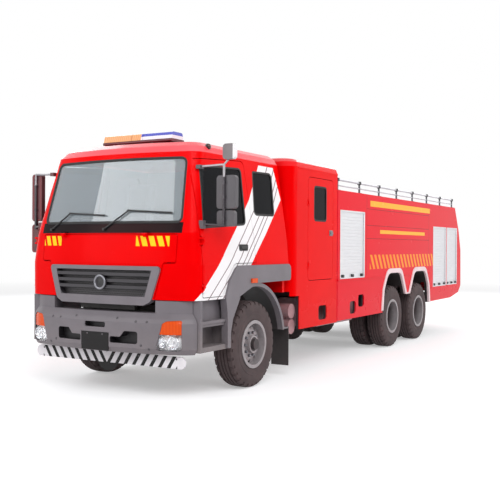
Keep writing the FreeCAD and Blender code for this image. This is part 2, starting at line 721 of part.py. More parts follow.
def save_cab():
    """Cab shell, doors, glass, the front lid and its grille."""
    room = cab_form(CAB_WALL, CAB_SILL - 1)
    wall = cab_form(0, CAB_SILL).cut(room)
    firewall_y = FACE + CAB_BOW + CAB_WALL + 30
    floor = room.common(box(-WIDE, WIDE, firewall_y, CAB_BACK, CAB_FLOOR - 40, CAB_FLOOR))
    firewall = room.common(box(-WIDE, WIDE, firewall_y, firewall_y + 20, CAB_SILL, CAB_WAIST - 4))
    tunnel_skin = box(-TUNNEL_HALF, TUNNEL_HALF, firewall_y, CAB_BACK - 1, CAB_FLOOR - 40, TUNNEL_TOP)
    tunnel = box(-TUNNEL_HALF + 30, TUNNEL_HALF - 30, firewall_y + 20, CAB_BACK + 1, CAB_SILL - 1,
                 TUNNEL_TOP - 30)
    shell = fused([wall, floor, firewall, tunnel_skin]).cut(tunnel)
    arch = disc_x(AXLE_F, TYRE_R, ARCH_R + 46, KING_X - 415, WIDE)
    cutters = both(arch)
    x0 = EAVES_HALF - CAB_WALL - 5
    cutters += both(prism_x(door_outline(0), x0, WIDE))
    cutters += both(prism_x(quarter_window(0), x0 - 80, WIDE))
    cutters += both(prism_x(fender_outline(SEAT_GAP), BELT_HALF - 62, WIDE))
    nose = FACE - 50
    lid_back = FACE + CAB_BOW + CAB_WALL + 20
    cutters.append(prism_y(windshield_outline(0), nose, FACE + 520))
    cutters.append(prism_y(lid_outline(0), nose, lid_back))
    cutters.append(prism_y(rect(-PASS_HALF, PASS_HALF, PASS_LOW, PASS_HIGH, 60), CAB_BACK - 100,
                           CAB_BACK + 1))
    shell = cut_all(shell, cutters)
    shell = max(shell.Solids, key=lambda solid: solid.Volume)
    pins = []
    for z in HINGE_ZS:
        pins += both(hinge_pin(HINGE_X, DOOR_HINGE_Y, z, BELT_HALF - 60, -1))
    save("cab_shell", fused([shell] + pins + lid_hinge_ears()))

    door_band = wall.common(prism_x(door_outline(DOOR_GAP), x0, WIDE)).cut(prism_x(door_window(0), x0, WIDE))
    door = hinged_leaf(door_band, HINGE_X, DOOR_HINGE_Y, HINGE_ZS, BELT_HALF - 45)
    glass_band = cab_form(GLASS_INSET, CAB_FLOOR).cut(cab_form(GLASS_INSET + GLASS_T, CAB_FLOOR - 1))
    door_glass = glass_band.common(prism_x(door_window(SEAT_GAP), x0, WIDE))
    save("cab_door_left", door)
    save("cab_door_right", mirrored(door))
    save("door_glass_left", door_glass)
    save("door_glass_right", mirrored(door_glass))
    quarter = glass_band.common(prism_x(quarter_window(SEAT_GAP), x0 - 80, WIDE))
    save("quarter_glass", both(quarter))
    save("windshield", glass_band.common(prism_y(windshield_outline(SEAT_GAP), nose, FACE + 520)))

    lid = wall.common(prism_y(lid_outline(DOOR_GAP), nose, lid_back))
    lid = lid.cut(prism_y(grille_outline(-SEAT_GAP), nose, lid_back))
    lid = max(lid.Solids, key=lambda solid: solid.Volume)
    lid = cut_all(lid, both(lid_swing_room(nose, lid_back)))
    save("front_lid", fused([lid] + lid_hinge_barrels()))
    save("grille", grille())


def hinge_pin(x, y, z, root_x, toward_front):
    """Fixed half of a door hinge: two eyes with the pin through them, on an arm to the post."""
    eye = Part.makeCylinder(HINGE_R, 20, V(x, y, z - 42))
    eye_top = Part.makeCylinder(HINGE_R, 20, V(x, y, z + 22))
    pin = Part.makeCylinder(HINGE_R * 0.5, 84, V(x, y, z - 42))
    y_far = y + toward_front * 34
    y0 = min(y, y_far)
    y1 = max(y, y_far)
    arms = [box(root_x, x + HINGE_R * 0.6, y0, y1, low, low + 20) for low in (z - 42, z + 22)]
    return fused([eye, eye_top, pin] + arms)


def hinge_knuckle(x, y, z, root_x, gap):
    """Moving half of a door hinge: the middle eye on an arm to the door."""
    eye = Part.makeCylinder(HINGE_R, 42, V(x, y, z - 21))
    arm = box(root_x, x + HINGE_R * 0.6, y, y + gap + 30, z - 21, z + 21)
    return fused([eye, arm])


def hinged_leaf(leaf, x, y, heights, root_x):
    """A door leaf with its hinge eyes, bored for the pins and cut back round the fixed eyes."""
    eyes = [hinge_knuckle(x, y, z, root_x, DOOR_GAP) for z in heights]
    leaf = fused([leaf] + eyes)
    bores = [Part.makeCylinder(HINGE_R * 0.5 + 0.05, 44, V(x, y, z - 22)) for z in heights]
    return cut_all(leaf, bores + [hinge_room(x, y, z) for z in heights])


def hinge_room(x, y, z):
    """Room for the fixed eyes in the edge of the door."""
    low = box(x - 70, x + 20, y - 30, y + HINGE_R + 8, z - 50, z - 21)
    high = box(x - 70, x + 20, y - 30, y + HINGE_R + 8, z + 21, z + 50)
    return low.fuse(high)


def lid_axis_y():
    """The lid's hinge line lies at the cab's outer skin, at the middle of its bow."""
    return FACE + cab_level(LID_TOP)[1] - 6


def lid_swing_room(front, back):
    """What is cut from the lid's left lower corner, so that its deep inner edge swings clear of the sill."""
    low = CAB_BELT + 12
    reach = Part.makeCylinder(LID_AXIS_Z - low - DOOR_GAP, LID_HALF, V(0, lid_axis_y(), LID_AXIS_Z),
                              V(1, 0, 0))
    return box(GRILLE_TOP_HALF + 21, LID_HALF + 1, front, back + 1, low, low + 120).cut(reach)


def lid_hinge_ears():
    """Fixed halves of the lid's hinges: a pin on two ears each, reaching out from the cowl."""
    y = lid_axis_y()
    pieces = []
    for x in LID_HINGE_XS:
        for side in (-34, 18):
            pieces.append(Part.makeCylinder(12, 16, V(x + side, y, LID_AXIS_Z), V(1, 0, 0)))
            pieces.append(box(x + side, x + side + 16, y - 6, FACE + 130, LID_AXIS_Z, LID_AXIS_Z + 22))
        pieces.append(Part.makeCylinder(6, 68, V(x - 34, y, LID_AXIS_Z), V(1, 0, 0)))
    return pieces


def lid_hinge_barrels():
    """Moving halves of the lid's hinges."""
    y = lid_axis_y()
    pieces = []
    for x in LID_HINGE_XS:
        barrel = Part.makeCylinder(12, 34, V(x - 17, y, LID_AXIS_Z), V(1, 0, 0))
        drop = box(x - 17, x + 17, y - 11, y + 11, LID_AXIS_Z - 40, LID_AXIS_Z)
        arm = box(x - 17, x + 17, y - 11, FACE + 85, LID_AXIS_Z - 40, LID_TOP - DOOR_GAP)
        bore = Part.makeCylinder(6.05, 36, V(x - 18, y, LID_AXIS_Z), V(1, 0, 0))
        pieces.append(fused([barrel, drop, arm]).cut(bore))
    return pieces


def grille_opening():
    """Opening inside the grille's frame in (x, z)."""
    top_half = GRILLE_TOP_HALF - 118
    low_half = GRILLE_LOW_HALF - 78
    return [(-top_half, GRILLE_TOP - 45, 25), (-low_half, GRILLE_LOW + 95, 90),
            (low_half, GRILLE_LOW + 95, 90),
            (top_half, GRILLE_TOP - 45, 25)]


def grille():
    """Grille: a deep frame, three slats across it and a plain ring in the middle."""
    back = FACE + 105
    front = FACE - 22
    opening = prism_y(grille_opening(), front - 1, back + 1)
    frame = prism_y(grille_outline(0), front, back).cut(opening)
    bowed = bowed_prism(front, back)
    slats = []
    pitch = 72.0
    for index in range(GRILLE_SLATS):
        z = GRILLE_TOP - 95 - pitch * index
        slat = box(-GRILLE_TOP_HALF, GRILLE_TOP_HALF, front + 22, back - 40, z - 18, z + 18)
        slats.append(slat.common(prism_y(grille_outline(60), front, back)))
    ring_z = 1290.0
    ring = Part.makeCylinder(78, 44, V(0, front + 52, ring_z), V(0, -1, 0))
    ring = ring.cut(Part.makeCylinder(46, 12, V(0, front + 20, ring_z), V(0, -1, 0)))
    return fused([frame.common(bowed)] + [slat.common(bowed) for slat in slats] + [ring])


def bowed_prism(front, back):
    """Block with the cab's bow on its front, to shape what sits in the lid."""
    plan = bowed_plan(BELT_HALF, front, back + 200, CAB_BOW, CAB_CORNER, GRILLE_LOW - 100)
    return Part.Face(plan).extrude(V(0, 0, 700))


# ---------------------------------------------------------------- cab outside
def save_front_end():
    """Bumper, lamps, boards, mudguards, steps, wipers and the light bar."""
    form = bumper_form(0)
    pocket = lamp_outline(0)
    back_of_lamp = FRONT + 235
    cutters = both(prism_y(pocket, FRONT - 10, back_of_lamp))
    cutters.append(prism_y(rect(-150, 150, 790, 850, 20), FRONT - 10, FRONT + 90))
    vent = [(212, 625, 18), (580, 625, 30), (580, 762, 30), (405, 762, 20), (350, 696, 20), (212, 696, 18)]
    cutters += both(prism_y(vent, FRONT - 10, FRONT + 130))
    cutters.append(box(-202, 202, FRONT - 10, FRONT + PLATE_SEAT, 524, 736))
    save("bumper", fused([cut_all(form, cutters)] + both(bumper_wing())))
    lens = bumper_form(6).common(prism_y(lamp_outline(SEAT_GAP), FRONT, back_of_lamp - SEAT_GAP))
    clear = lens.common(box(0, BODY_HALF, FRONT, FRONT + 400, BUMPER_BOTTOM, LAMP_SPLIT - SEAT_GAP))
    amber = lens.common(box(0, BODY_HALF, FRONT, FRONT + 400, LAMP_SPLIT, BUMPER_TOP))
    save("headlamps", both(clear))
    marker = box(BELT_HALF + 22, BELT_HALF + 40, AXLE_F - 150, AXLE_F - 20, 1268, 1322)
    save("marker_lamps", both(amber) + both(marker) + both(tail_lamp()))
    board = prism_y(rect(-BOARD_HALF, BOARD_HALF, BOARD_LOW, BOARD_HIGH, 62), BOARD_Y, BOARD_Y + 22)
    straps = both(box(430, 480, BOARD_Y + 22, BOARD_Y + 30, BOARD_LOW + 30, BUMPER_BOTTOM))
    disc = Part.makeCylinder(160, 8, V(0, BOARD_Y + 22, BOARD_LOW + 60), V(0, -1, 0))
    flap = disc.common(box(-160, 160, BOARD_Y, BOARD_Y + 22, BOARD_LOW - 110, BOARD_LOW + 60))
    plate = box(-196, 196, FRONT + 3, FRONT + PLATE_SEAT, 530, 730)
    save("front_boards", [fused([board, flap] + straps), plate])
    save("front_mudguards", both(front_mudguard()))
    save("cab_steps", both(cab_step()))
    save("wipers", [wiper(-850, -560, 2080, 1), wiper(20, 330, 2100, 1)])
    save("light_bar", light_bar_base())
    save("light_bar_lenses", light_bar_lenses())


def lamp_outline(gap):
    """Front lamp cluster in (x, z): amber above, a wider clear lamp below."""
    return [
        (LAMP_OUT - 207 + gap, 862 - gap, 14), (LAMP_OUT - 165 + gap, 888 - gap, 30),
        (LAMP_OUT - gap, 900 - gap, 26),
        (LAMP_OUT - gap, 562 + gap, 50), (LAMP_OUT - 292 + gap, 562 + gap, 40),
        (LAMP_OUT - 240 + gap, LAMP_SPLIT + gap, 30)]


def bumper_plan(inset, setback, z):
    """Plan of the bumper: bowed, with long rounded ends."""
    front = FRONT + setback + inset
    return bowed_plan(BUMPER_HALF - inset, front, front + 2 * BUMPER_CORNER, BUMPER_BOW, BUMPER_CORNER, z)


def bumper_form(inset):
    """Bowed bumper block with a chin and a sloped top."""
    levels = ((BUMPER_BOTTOM, 40.0), (BUMPER_BOTTOM + 60, 0.0), (860.0, 0.0), (905.0, 25.0),
              (BUMPER_TOP, WING_SETBACK))
    block = Part.makeLoft([bumper_plan(inset, setback, z) for z, setback in levels], True, True)
    return block.common(box(-WIDE, WIDE, FRONT - 10, FRONT + BUMPER_DEPTH, BUMPER_BOTTOM, BUMPER_TOP))


def bumper_wing():
    """Wall on the left end of the bumper, closing the space below the cab's corner."""
    top = CAB_SILL - 8
    block = Part.Face(bumper_plan(0, WING_SETBACK, BUMPER_TOP - 6)).extrude(V(0, 0, top - BUMPER_TOP + 6))
    return block.common(box(WING_IN, WIDE, FRONT, FRONT + BUMPER_DEPTH, BUMPER_TOP - 6, top))


def mudguard_leg(gap):
    """Front leg of the grey mudguard in (y, z), from the panel down beside the step, grown by a gap."""
    top = CAB_SILL - 1
    low = STEP_LOW + 5
    return [
        (AXLE_F - 704 - gap, top), (AXLE_F - 675 - gap, 950, 90), (AXLE_F - 665 - gap, low - gap, 12),
        (AXLE_F - 597, low - gap), (AXLE_F - 597, 720, 60), (AXLE_F - 555, 870, 80), (AXLE_F - 395, top)]


def front_mudguard():
    """Grey mudguard of the left side: a liner round the wheel, a panel in the cab's side and a flap."""
    outer_x = BELT_HALF + 5
    inner_x = KING_X - 175
    ring = disc_x(AXLE_F, TYRE_R, ARCH_R + 45, inner_x, outer_x).cut(
        disc_x(AXLE_F, TYRE_R, ARCH_R, inner_x - 1, outer_x + 1))
    keep = box(inner_x, outer_x, AXLE_F - 640, AXLE_F + 800, CAB_SILL - 30, CAB_BELT).fuse(
        box(inner_x, outer_x, AXLE_F, AXLE_F + 800, 640, CAB_BELT))
    liner = ring.common(keep)
    panel = prism_x([
        (AXLE_F - 705, CAB_SILL - 5, 10), (AXLE_F - 630, 1300, 150), (AXLE_F - 470, FENDER_TOP, 140),
        (FENDER_BACK, FENDER_TOP, 70), (FENDER_BACK, 1270, 40), (AXLE_F, 1262),
        (AXLE_F - 450, CAB_SILL - 5, 10)],
        BELT_HALF - 62 + SEAT_GAP, BELT_HALF + 22)
    panel = panel.cut(disc_x(AXLE_F, TYRE_R, ARCH_R, KING_X - 275, WIDE))
    leg = prism_x(mudguard_leg(0), BELT_HALF - 62 + SEAT_GAP, BELT_HALF + 22)
    flap_y = AXLE_F + 905
    flap = box(KING_X - 15, WHEEL_OUT - 13, flap_y, flap_y + 8, 150, 660)
    bracket = box(KING_X - 15, WHEEL_OUT - 13, AXLE_F + 705, flap_y + 8, 640, 660)
    return fused([liner, panel, leg, flap, bracket])


def cab_step():
    """Step well under the left door: a foot recess over the tread, a lip and a deep panel above it."""
    y0 = FRONT + BUMPER_DEPTH + 8
    y1 = AXLE_F - 600
    x0 = BELT_HALF - 240
    x1 = BELT_HALF - 5
    top = CAB_SILL - 8
    back = box(x0, x0 + 15, y0, y1, STEP_LOW, top)
    front_cheek = box(x0, x1, y0, y0 + 40, STEP_LOW, top)
    rear_cheek = box(x0, x1, y1 - 15, y1, STEP_LOW, top)
    tread = box(x0, x1, y0, y1, STEP_LOW, STEP_LOW + 56)
    panel = box(x1 - 145, x1 - 100, y0, y1, 830, top)
    lip = box(x1 - 145, x1, y0, y1, 848, 880)
    shelf = box(x0, x1 - 16, y0, y1, 815, 850)
    hanger = box(RAIL_X + SEAT_GAP, x0 + 15, y0 + 170, y0 + 250, 840, 940)
    step = fused([back, front_cheek, rear_cheek, tread, panel, lip, shelf, hanger])
    return step.cut(prism_x(mudguard_leg(SEAT_GAP), BELT_HALF - 62, WIDE))


def off_cab(shape):
    """A fitting trimmed to sit on the cab's skin."""
    return shape.cut(cab_form(-SEAT_GAP, CAB_SILL))


def windshield_y(x, z):
    """Outer face of the windshield at a width and height."""
    half, setback = cab_level(z)
    reach = bow_reach(half, CAB_BOW, CAB_CORNER)[0]
    return FACE + setback + CAB_BOW * (x / reach) ** 2


def wiper(pivot_x, tip_x, tip_z, lead):
    """One wiper: a spindle on the cowl, an arm up the glass and a blade across it."""
    pivot_z = 1890.0
    stand = 16.0
    pivot = V(pivot_x, windshield_y(pivot_x, pivot_z) - stand, pivot_z)
    tip = V(tip_x, windshield_y(tip_x, tip_z) - stand, tip_z)
    spindle = off_cab(rod(pivot + V(0, stand + 12, 0), pivot - V(0, 14, 0), 16))
    blade_end = tip_x + lead * 560
    blade_z = tip_z - 30
    far = V(blade_end, windshield_y(blade_end, blade_z) - stand, blade_z)
    blade = rod(tip, far, 9)
    joint = rod(tip + V(0, 10, 0), tip - V(0, 12, 0), 13)
    return fused([spindle, rod(pivot, tip, 9), blade, joint])


def light_bar_base():
    """Base of the light bar on two feet."""
    low = CAB_ROOF + LIGHT_BAR_LIFT
    base = prism_x(rect(LIGHT_BAR_Y - 130, LIGHT_BAR_Y + 130, low, low + 34, 15), -LIGHT_BAR_HALF,
                   LIGHT_BAR_HALF)
    feet = both(box(330, 400, LIGHT_BAR_Y - 60, LIGHT_BAR_Y + 60, CAB_ROOF + SEAT_GAP, low + 4))
    return fused([base] + feet)


def light_bar_lenses():
    """Three lens housings side by side on the base."""
    low = CAB_ROOF + LIGHT_BAR_LIFT + 34 + SEAT_GAP
    height = 82.0
    joint = 90.0
    pieces = []
    for x0, x1 in ((-LIGHT_BAR_HALF + 6, -joint), (-joint + 8, joint - 8), (joint, LIGHT_BAR_HALF - 6)):
        profile = [(LIGHT_BAR_Y - 124, low), (LIGHT_BAR_Y + 124, low), (LIGHT_BAR_Y + 100, low + height, 30),
                   (LIGHT_BAR_Y - 100, low + height, 30)]
        pieces.append(prism_x(profile, x0, x1))
    return pieces


# ---------------------------------------------------------------- mirrors
def mirror_set(heads, link_heights):
    """Mirrors on the left door: a tube arm from two brackets, its heads and the blocks that hold them."""
    top_half = cab_level(MIRROR_TOP - 20)[0]
    low_half = cab_level(MIRROR_LOW)[0]
    top_base = V(top_half + 4, DOOR_FRONT + 140, MIRROR_TOP - 10)
    low_base = V(low_half + 4, DOOR_FRONT + 45, MIRROR_LOW)
    bends = [V(MIRROR_X, MIRROR_Y, MIRROR_TOP), V(MIRROR_X, MIRROR_Y, MIRROR_LOW - 15)]
    arm = tube_run([top_base] + bends + [low_base], 13)
    top_foot = box(top_half - 25, top_half + 32, DOOR_FRONT + 105, DOOR_FRONT + 175, MIRROR_TOP - 32,
                   MIRROR_TOP + 10)
    low_foot = box(low_half - 20, low_half + 35, DOOR_FRONT + 16, DOOR_FRONT + 70, MIRROR_LOW - 50,
                   MIRROR_LOW + 40)
    links = []
    for z in link_heights:
        links.append(box(MIRROR_X - 15, MIRROR_X + 15, MIRROR_Y - 15, MIRROR_Y + 30, z - 14, z + 14))
    return off_cab(fused([arm, top_foot, low_foot] + heads + links))


def mirror_left():
    """Left side: a main head, a wide one below it and a kerb one on a stem above the arm."""
    back = MIRROR_Y + 46
    main = mirror_head(MIRROR_X + 18, back, 2115, 2480, 245)
    wide = mirror_head(MIRROR_X + 12, back, 1920, 2095, 225)
    kerb = mirror_head(MIRROR_X + 88, MIRROR_Y - 20, 2645, 2815, 150)
    stem = rod(V(MIRROR_X, MIRROR_Y, MIRROR_TOP), V(MIRROR_X + 75, MIRROR_Y, 2665), 11)
    return mirror_set([main, wide, kerb, stem], (2240, 2400, 2000))


def mirror_right():
    """Right side, drawn on the left: a tall narrow head and a small one hung below it."""
    tall = mirror_head(MIRROR_X, MIRROR_Y + 46, 2005, 2600, 165)
    small = mirror_head(MIRROR_X + 22, MIRROR_Y + 46, 1610, 1965, 120)
    drop = box(MIRROR_X - 14, MIRROR_X + 14, MIRROR_Y - 12, MIRROR_Y + 30, MIRROR_LOW - 40, MIRROR_LOW + 90)
    return mirror_set([tall, small, drop], (2150, 2450))


def mirror_head(centre_x, centre_y, z0, z1, width):
    """One mirror head: a rounded flat housing that faces back."""
    outline_xz = rect(centre_x - width / 2, centre_x + width / 2, z0, z1, 38)
    return prism_y(outline_xz, centre_y - 30, centre_y + 30)


# ---------------------------------------------------------------- cab inside
def save_cab_inside():
    """Dashboard with the steering wheel, and the seats of cab and crew cabin."""
    dash_y0 = FACE + CAB_BOW + CAB_WALL + 60
    dash_half = WAIST_HALF - 265
    dash = prism_x([
        (dash_y0, CAB_FLOOR + SEAT_GAP), (dash_y0 + 120, CAB_FLOOR + SEAT_GAP), (dash_y0 + 330, 1720, 60),
        (dash_y0 + 260, 1880, 60), (dash_y0 + 20, 1905, 20), (dash_y0, 1860)], -dash_half, dash_half)
    tunnel_half = TUNNEL_HALF + SEAT_GAP
    dash = dash.cut(box(
        -tunnel_half, tunnel_half, dash_y0 - 10, dash_y0 + 400, CAB_FLOOR - 5, TUNNEL_TOP + SEAT_GAP))
    wheel_centre = V(-DRIVER_X, dash_y0 + 430, 1930)
    lean = V(0, 0.5, 0.87)
    column = rod(V(-DRIVER_X, dash_y0 + 240, 1740), wheel_centre, 32)
    ring = Part.makeTorus(220, 14, wheel_centre, lean)
    spokes = []
    for turn in (0, 120, 240):
        angle = math.radians(turn + 90)
        side = V(1, 0, 0)
        up = lean.normalize().cross(side)
        tip = wheel_centre + side * (218 * math.cos(angle)) + up * (218 * math.sin(angle))
        spokes.append(rod(wheel_centre, tip, 11))
    save("dashboard", fused([dash, column, ring] + spokes))
    seats = []
    for x in (-DRIVER_X, DRIVER_X):
        seats += seat(x, FACE + 950, 480, CAB_FLOOR, 620)
    for x in (-760.0, 0.0, 760.0):
        seats += seat(x, CREW_BACK - CREW_WALL - 700, 600, CREW_FLOOR, 450)
    save("seats", seats)


def seat(x, y, width, floor, base_h):
    """Seat cushion on its base, and the backrest, as two closed solids."""
    top = floor + base_h
    cushion_t = 110.0
    base = box(x - width / 2 + 60, x + width / 2 - 60, y + 40, y + 440, floor + SEAT_GAP, top - cushion_t)
    cushion = prism_z(rect(x - width / 2, x + width / 2, y, y + 480, 60), top - cushion_t, top)
    back = prism_x([(y + 455, top - 40), (y + 600, top - 40), (y + 665, top + 640, 30),
                    (y + 580, top + 640, 30)],
                   x - width / 2, x + width / 2)
    post = box(x - 60, x + 60, y + 420, y + 540, top - 100, top - 30)
    return [fused([base, cushion, post, back])]


# ---------------------------------------------------------------- crew cabin


def crew_door(gap):
    """Crew door in (y, z)."""
    return shrunk_rect(CREW_DOOR_FRONT, CREW_DOOR_BACK, CREW_FLOOR + 60, CREW_DOOR_TOP, 70, gap)


def crew_window(gap):
    """Window of the crew door in (y, z)."""
    return shrunk_rect(CREW_FRONT + 665, CREW_FRONT + 1080, 2055, 2550, 60, gap)


def crew_form(inset, z_low, eaves, roof):
    """Crew cabin form: rounded front corners, straight sides and a rounded roof."""
    half = CREW_HALF - inset
    front = CREW_FRONT + inset
    back = CREW_BACK - inset
    corner = 160.0
    wires = []
    lower = prism_z([(half, back), (half, front, corner), (-half, front, corner), (-half, back)], z_low,
                    eaves)
    rise = roof - eaves
    for share, draw in ((0.0, 0.0), (0.5, 22.0), (0.8, 70.0), (1.0, 190.0)):
        z = eaves + rise * share
        w = half - draw
        points = [(w, back - draw * 0.7), (w, front + draw, corner), (-w, front + draw, corner),
                  (-w, back - draw * 0.7)]
        wires.append(outline(points, lambda a, b, level=z: V(a, b, level)))
    return lower.fuse(Part.makeLoft(wires, True, True))


def save_crew_cabin():
    """Crew cabin shell with its skirt, two doors with glass, and the bellows to the cab."""
    outer = crew_form(0, CREW_SKIRT, CREW_EAVES, CREW_ROOF)
    room = crew_form(CREW_WALL, CREW_FLOOR, CREW_EAVES, CREW_ROOF - CREW_WALL)
    wall = outer.cut(room)
    inner_x = CREW_HALF - 2 * CREW_WALL
    under = box(-CREW_HALF + CREW_WALL, CREW_HALF - CREW_WALL, CREW_FRONT - 1, CREW_BACK + 1,
                CREW_SKIRT - 1, BODY_FLOOR)
    corner_clear = box(-WIDE, WIDE, CREW_FRONT - 1, CREW_FRONT + 235, CREW_SKIRT - 1, CREW_SKIRT + 445)
    cutters = both(prism_x(crew_door(0), inner_x, WIDE))
    hole = rect(CREW_FRONT + 830, CREW_FRONT + 1100, 680, 880, 50)
    cutters += both(prism_x(hole, inner_x, WIDE))
    cutters.append(prism_y(rect(-PASS_HALF, PASS_HALF, PASS_LOW, PASS_HIGH, 60), CREW_FRONT - 1,
                           CREW_FRONT + 100))
    shell = cut_all(wall, [under, corner_clear] + cutters)
    pins = []
    for z in CREW_HINGE_ZS:
        pins += both(hinge_pin(CREW_HINGE_X, CREW_HINGE_Y, z, CREW_HALF - 40, -1))
    gutter = both(box(CREW_HALF, CREW_HALF + 5, CREW_FRONT + 180, CREW_BACK, CREW_EAVES - 18, CREW_EAVES))
    save("crew_shell", fused([shell] + pins + gutter))

    leaf = wall.common(prism_x(crew_door(DOOR_GAP), inner_x, WIDE))
    leaf = leaf.cut(prism_x(crew_window(0), inner_x, WIDE))
    leaf = hinged_leaf(leaf, CREW_HINGE_X, CREW_HINGE_Y, CREW_HINGE_ZS, CREW_HALF - 40)
    pane = prism_x(crew_window(SEAT_GAP), CREW_HALF - GLASS_INSET - GLASS_T, CREW_HALF - GLASS_INSET)
    save("crew_door_left", leaf)
    save("crew_door_right", mirrored(leaf))
    save("crew_glass_left", pane)
    save("crew_glass_right", mirrored(pane))

    bellows_out = rect(-EAVES_HALF + 60, EAVES_HALF - 60, CAB_FLOOR - 60, CAB_EAVES - 30, 120)
    bellows_in = rect(-EAVES_HALF + 130, EAVES_HALF - 130, CAB_FLOOR + 10, CAB_EAVES - 100, 60)
    y0 = CAB_BACK + SEAT_GAP
    y1 = CREW_FRONT - SEAT_GAP
    save("cab_bellows", prism_y(bellows_out, y0, y1).cut(prism_y(bellows_in, y0 - 1, y1 + 1)))


# ---------------------------------------------------------------- equipment body


def arch_outline(grow):
    """Opening over both rear wheels in (y, z), grown outwards."""
    top = ARCH_TOP + grow
    dip = 880.0 + grow * 0.3
    dip_half = max(112.0 - grow * 0.9, 12.0)
    return [
        (BOGIE - HALF_TANDEM - 560 - grow, ARCH_LOW), (BOGIE - HALF_TANDEM - 485 - grow, 1000, 200),
        (BOGIE - HALF_TANDEM - 300 - grow * 0.5, top, 240), (BOGIE - 360 + grow * 0.6, top, 220),
        (BOGIE - dip_half, dip, 10), (BOGIE + dip_half, dip, 10),
        (BOGIE + 360 - grow * 0.6, top, 220), (BOGIE + HALF_TANDEM + 300 + grow * 0.5, top, 240),
        (BOGIE + HALF_TANDEM + 485 + grow, 1000, 200), (BOGIE + HALF_TANDEM + 560 + grow, ARCH_LOW)]


def tail_profile(inset):
    """Side view of the body in (y, z), drawn in by inset at front, top and tail."""
    foot = TAIL - inset
    return [
        (BODY_FRONT + inset, BODY_SKIRT), (BOGIE, BODY_SKIRT), (BOGIE + 1, REAR_SKIRT), (TAIL - 770, 672),
        (TAIL - 180, 760 + inset * 0.4, 60), (foot, 900, 80), (foot - 20, 1650, 300),
        (foot - 180, 2080, 300), (foot - TAIL_LEAN, BODY_DECK - inset, 25),
        (BODY_FRONT + inset, BODY_DECK - inset)]


def shutter_bays():
    """Shutter openings of one side: (front edge, back edge, low, high)."""
    return [
        (BODY_FRONT + 98, BODY_FRONT + 1015, SHUTTER_LOW, SHUTTER_HIGH),
        (TAIL - 1915, TAIL - 1088, REAR_SHUTTER_LOW, REAR_SHUTTER_HIGH),
        (TAIL - 1018, TAIL - 320, REAR_SHUTTER_LOW, REAR_SHUTTER_HIGH)]


def slatted(y0, y1, z0, z1, x_out):
    """Roller shutter in a side wall: slats with a groove between each, and a bottom bar."""
    pitch = 50.0
    count = int((z1 - z0 - 60) / pitch)
    depth = 5.0
    profile = [(x_out - SHUTTER_T, z0), (x_out, z0), (x_out, z0 + 60)]
    for index in range(count):
        low = z0 + 60 + index * pitch
        profile += [(x_out - depth, low + 4), (x_out - depth, low + 8), (x_out, low + 12),
                    (x_out, low + pitch)]
    profile += [(x_out, z1), (x_out - SHUTTER_T, z1)]
    clean = [point for index, point in enumerate(profile) if point != profile[index - 1]]
    return prism_y(clean, y0, y1)


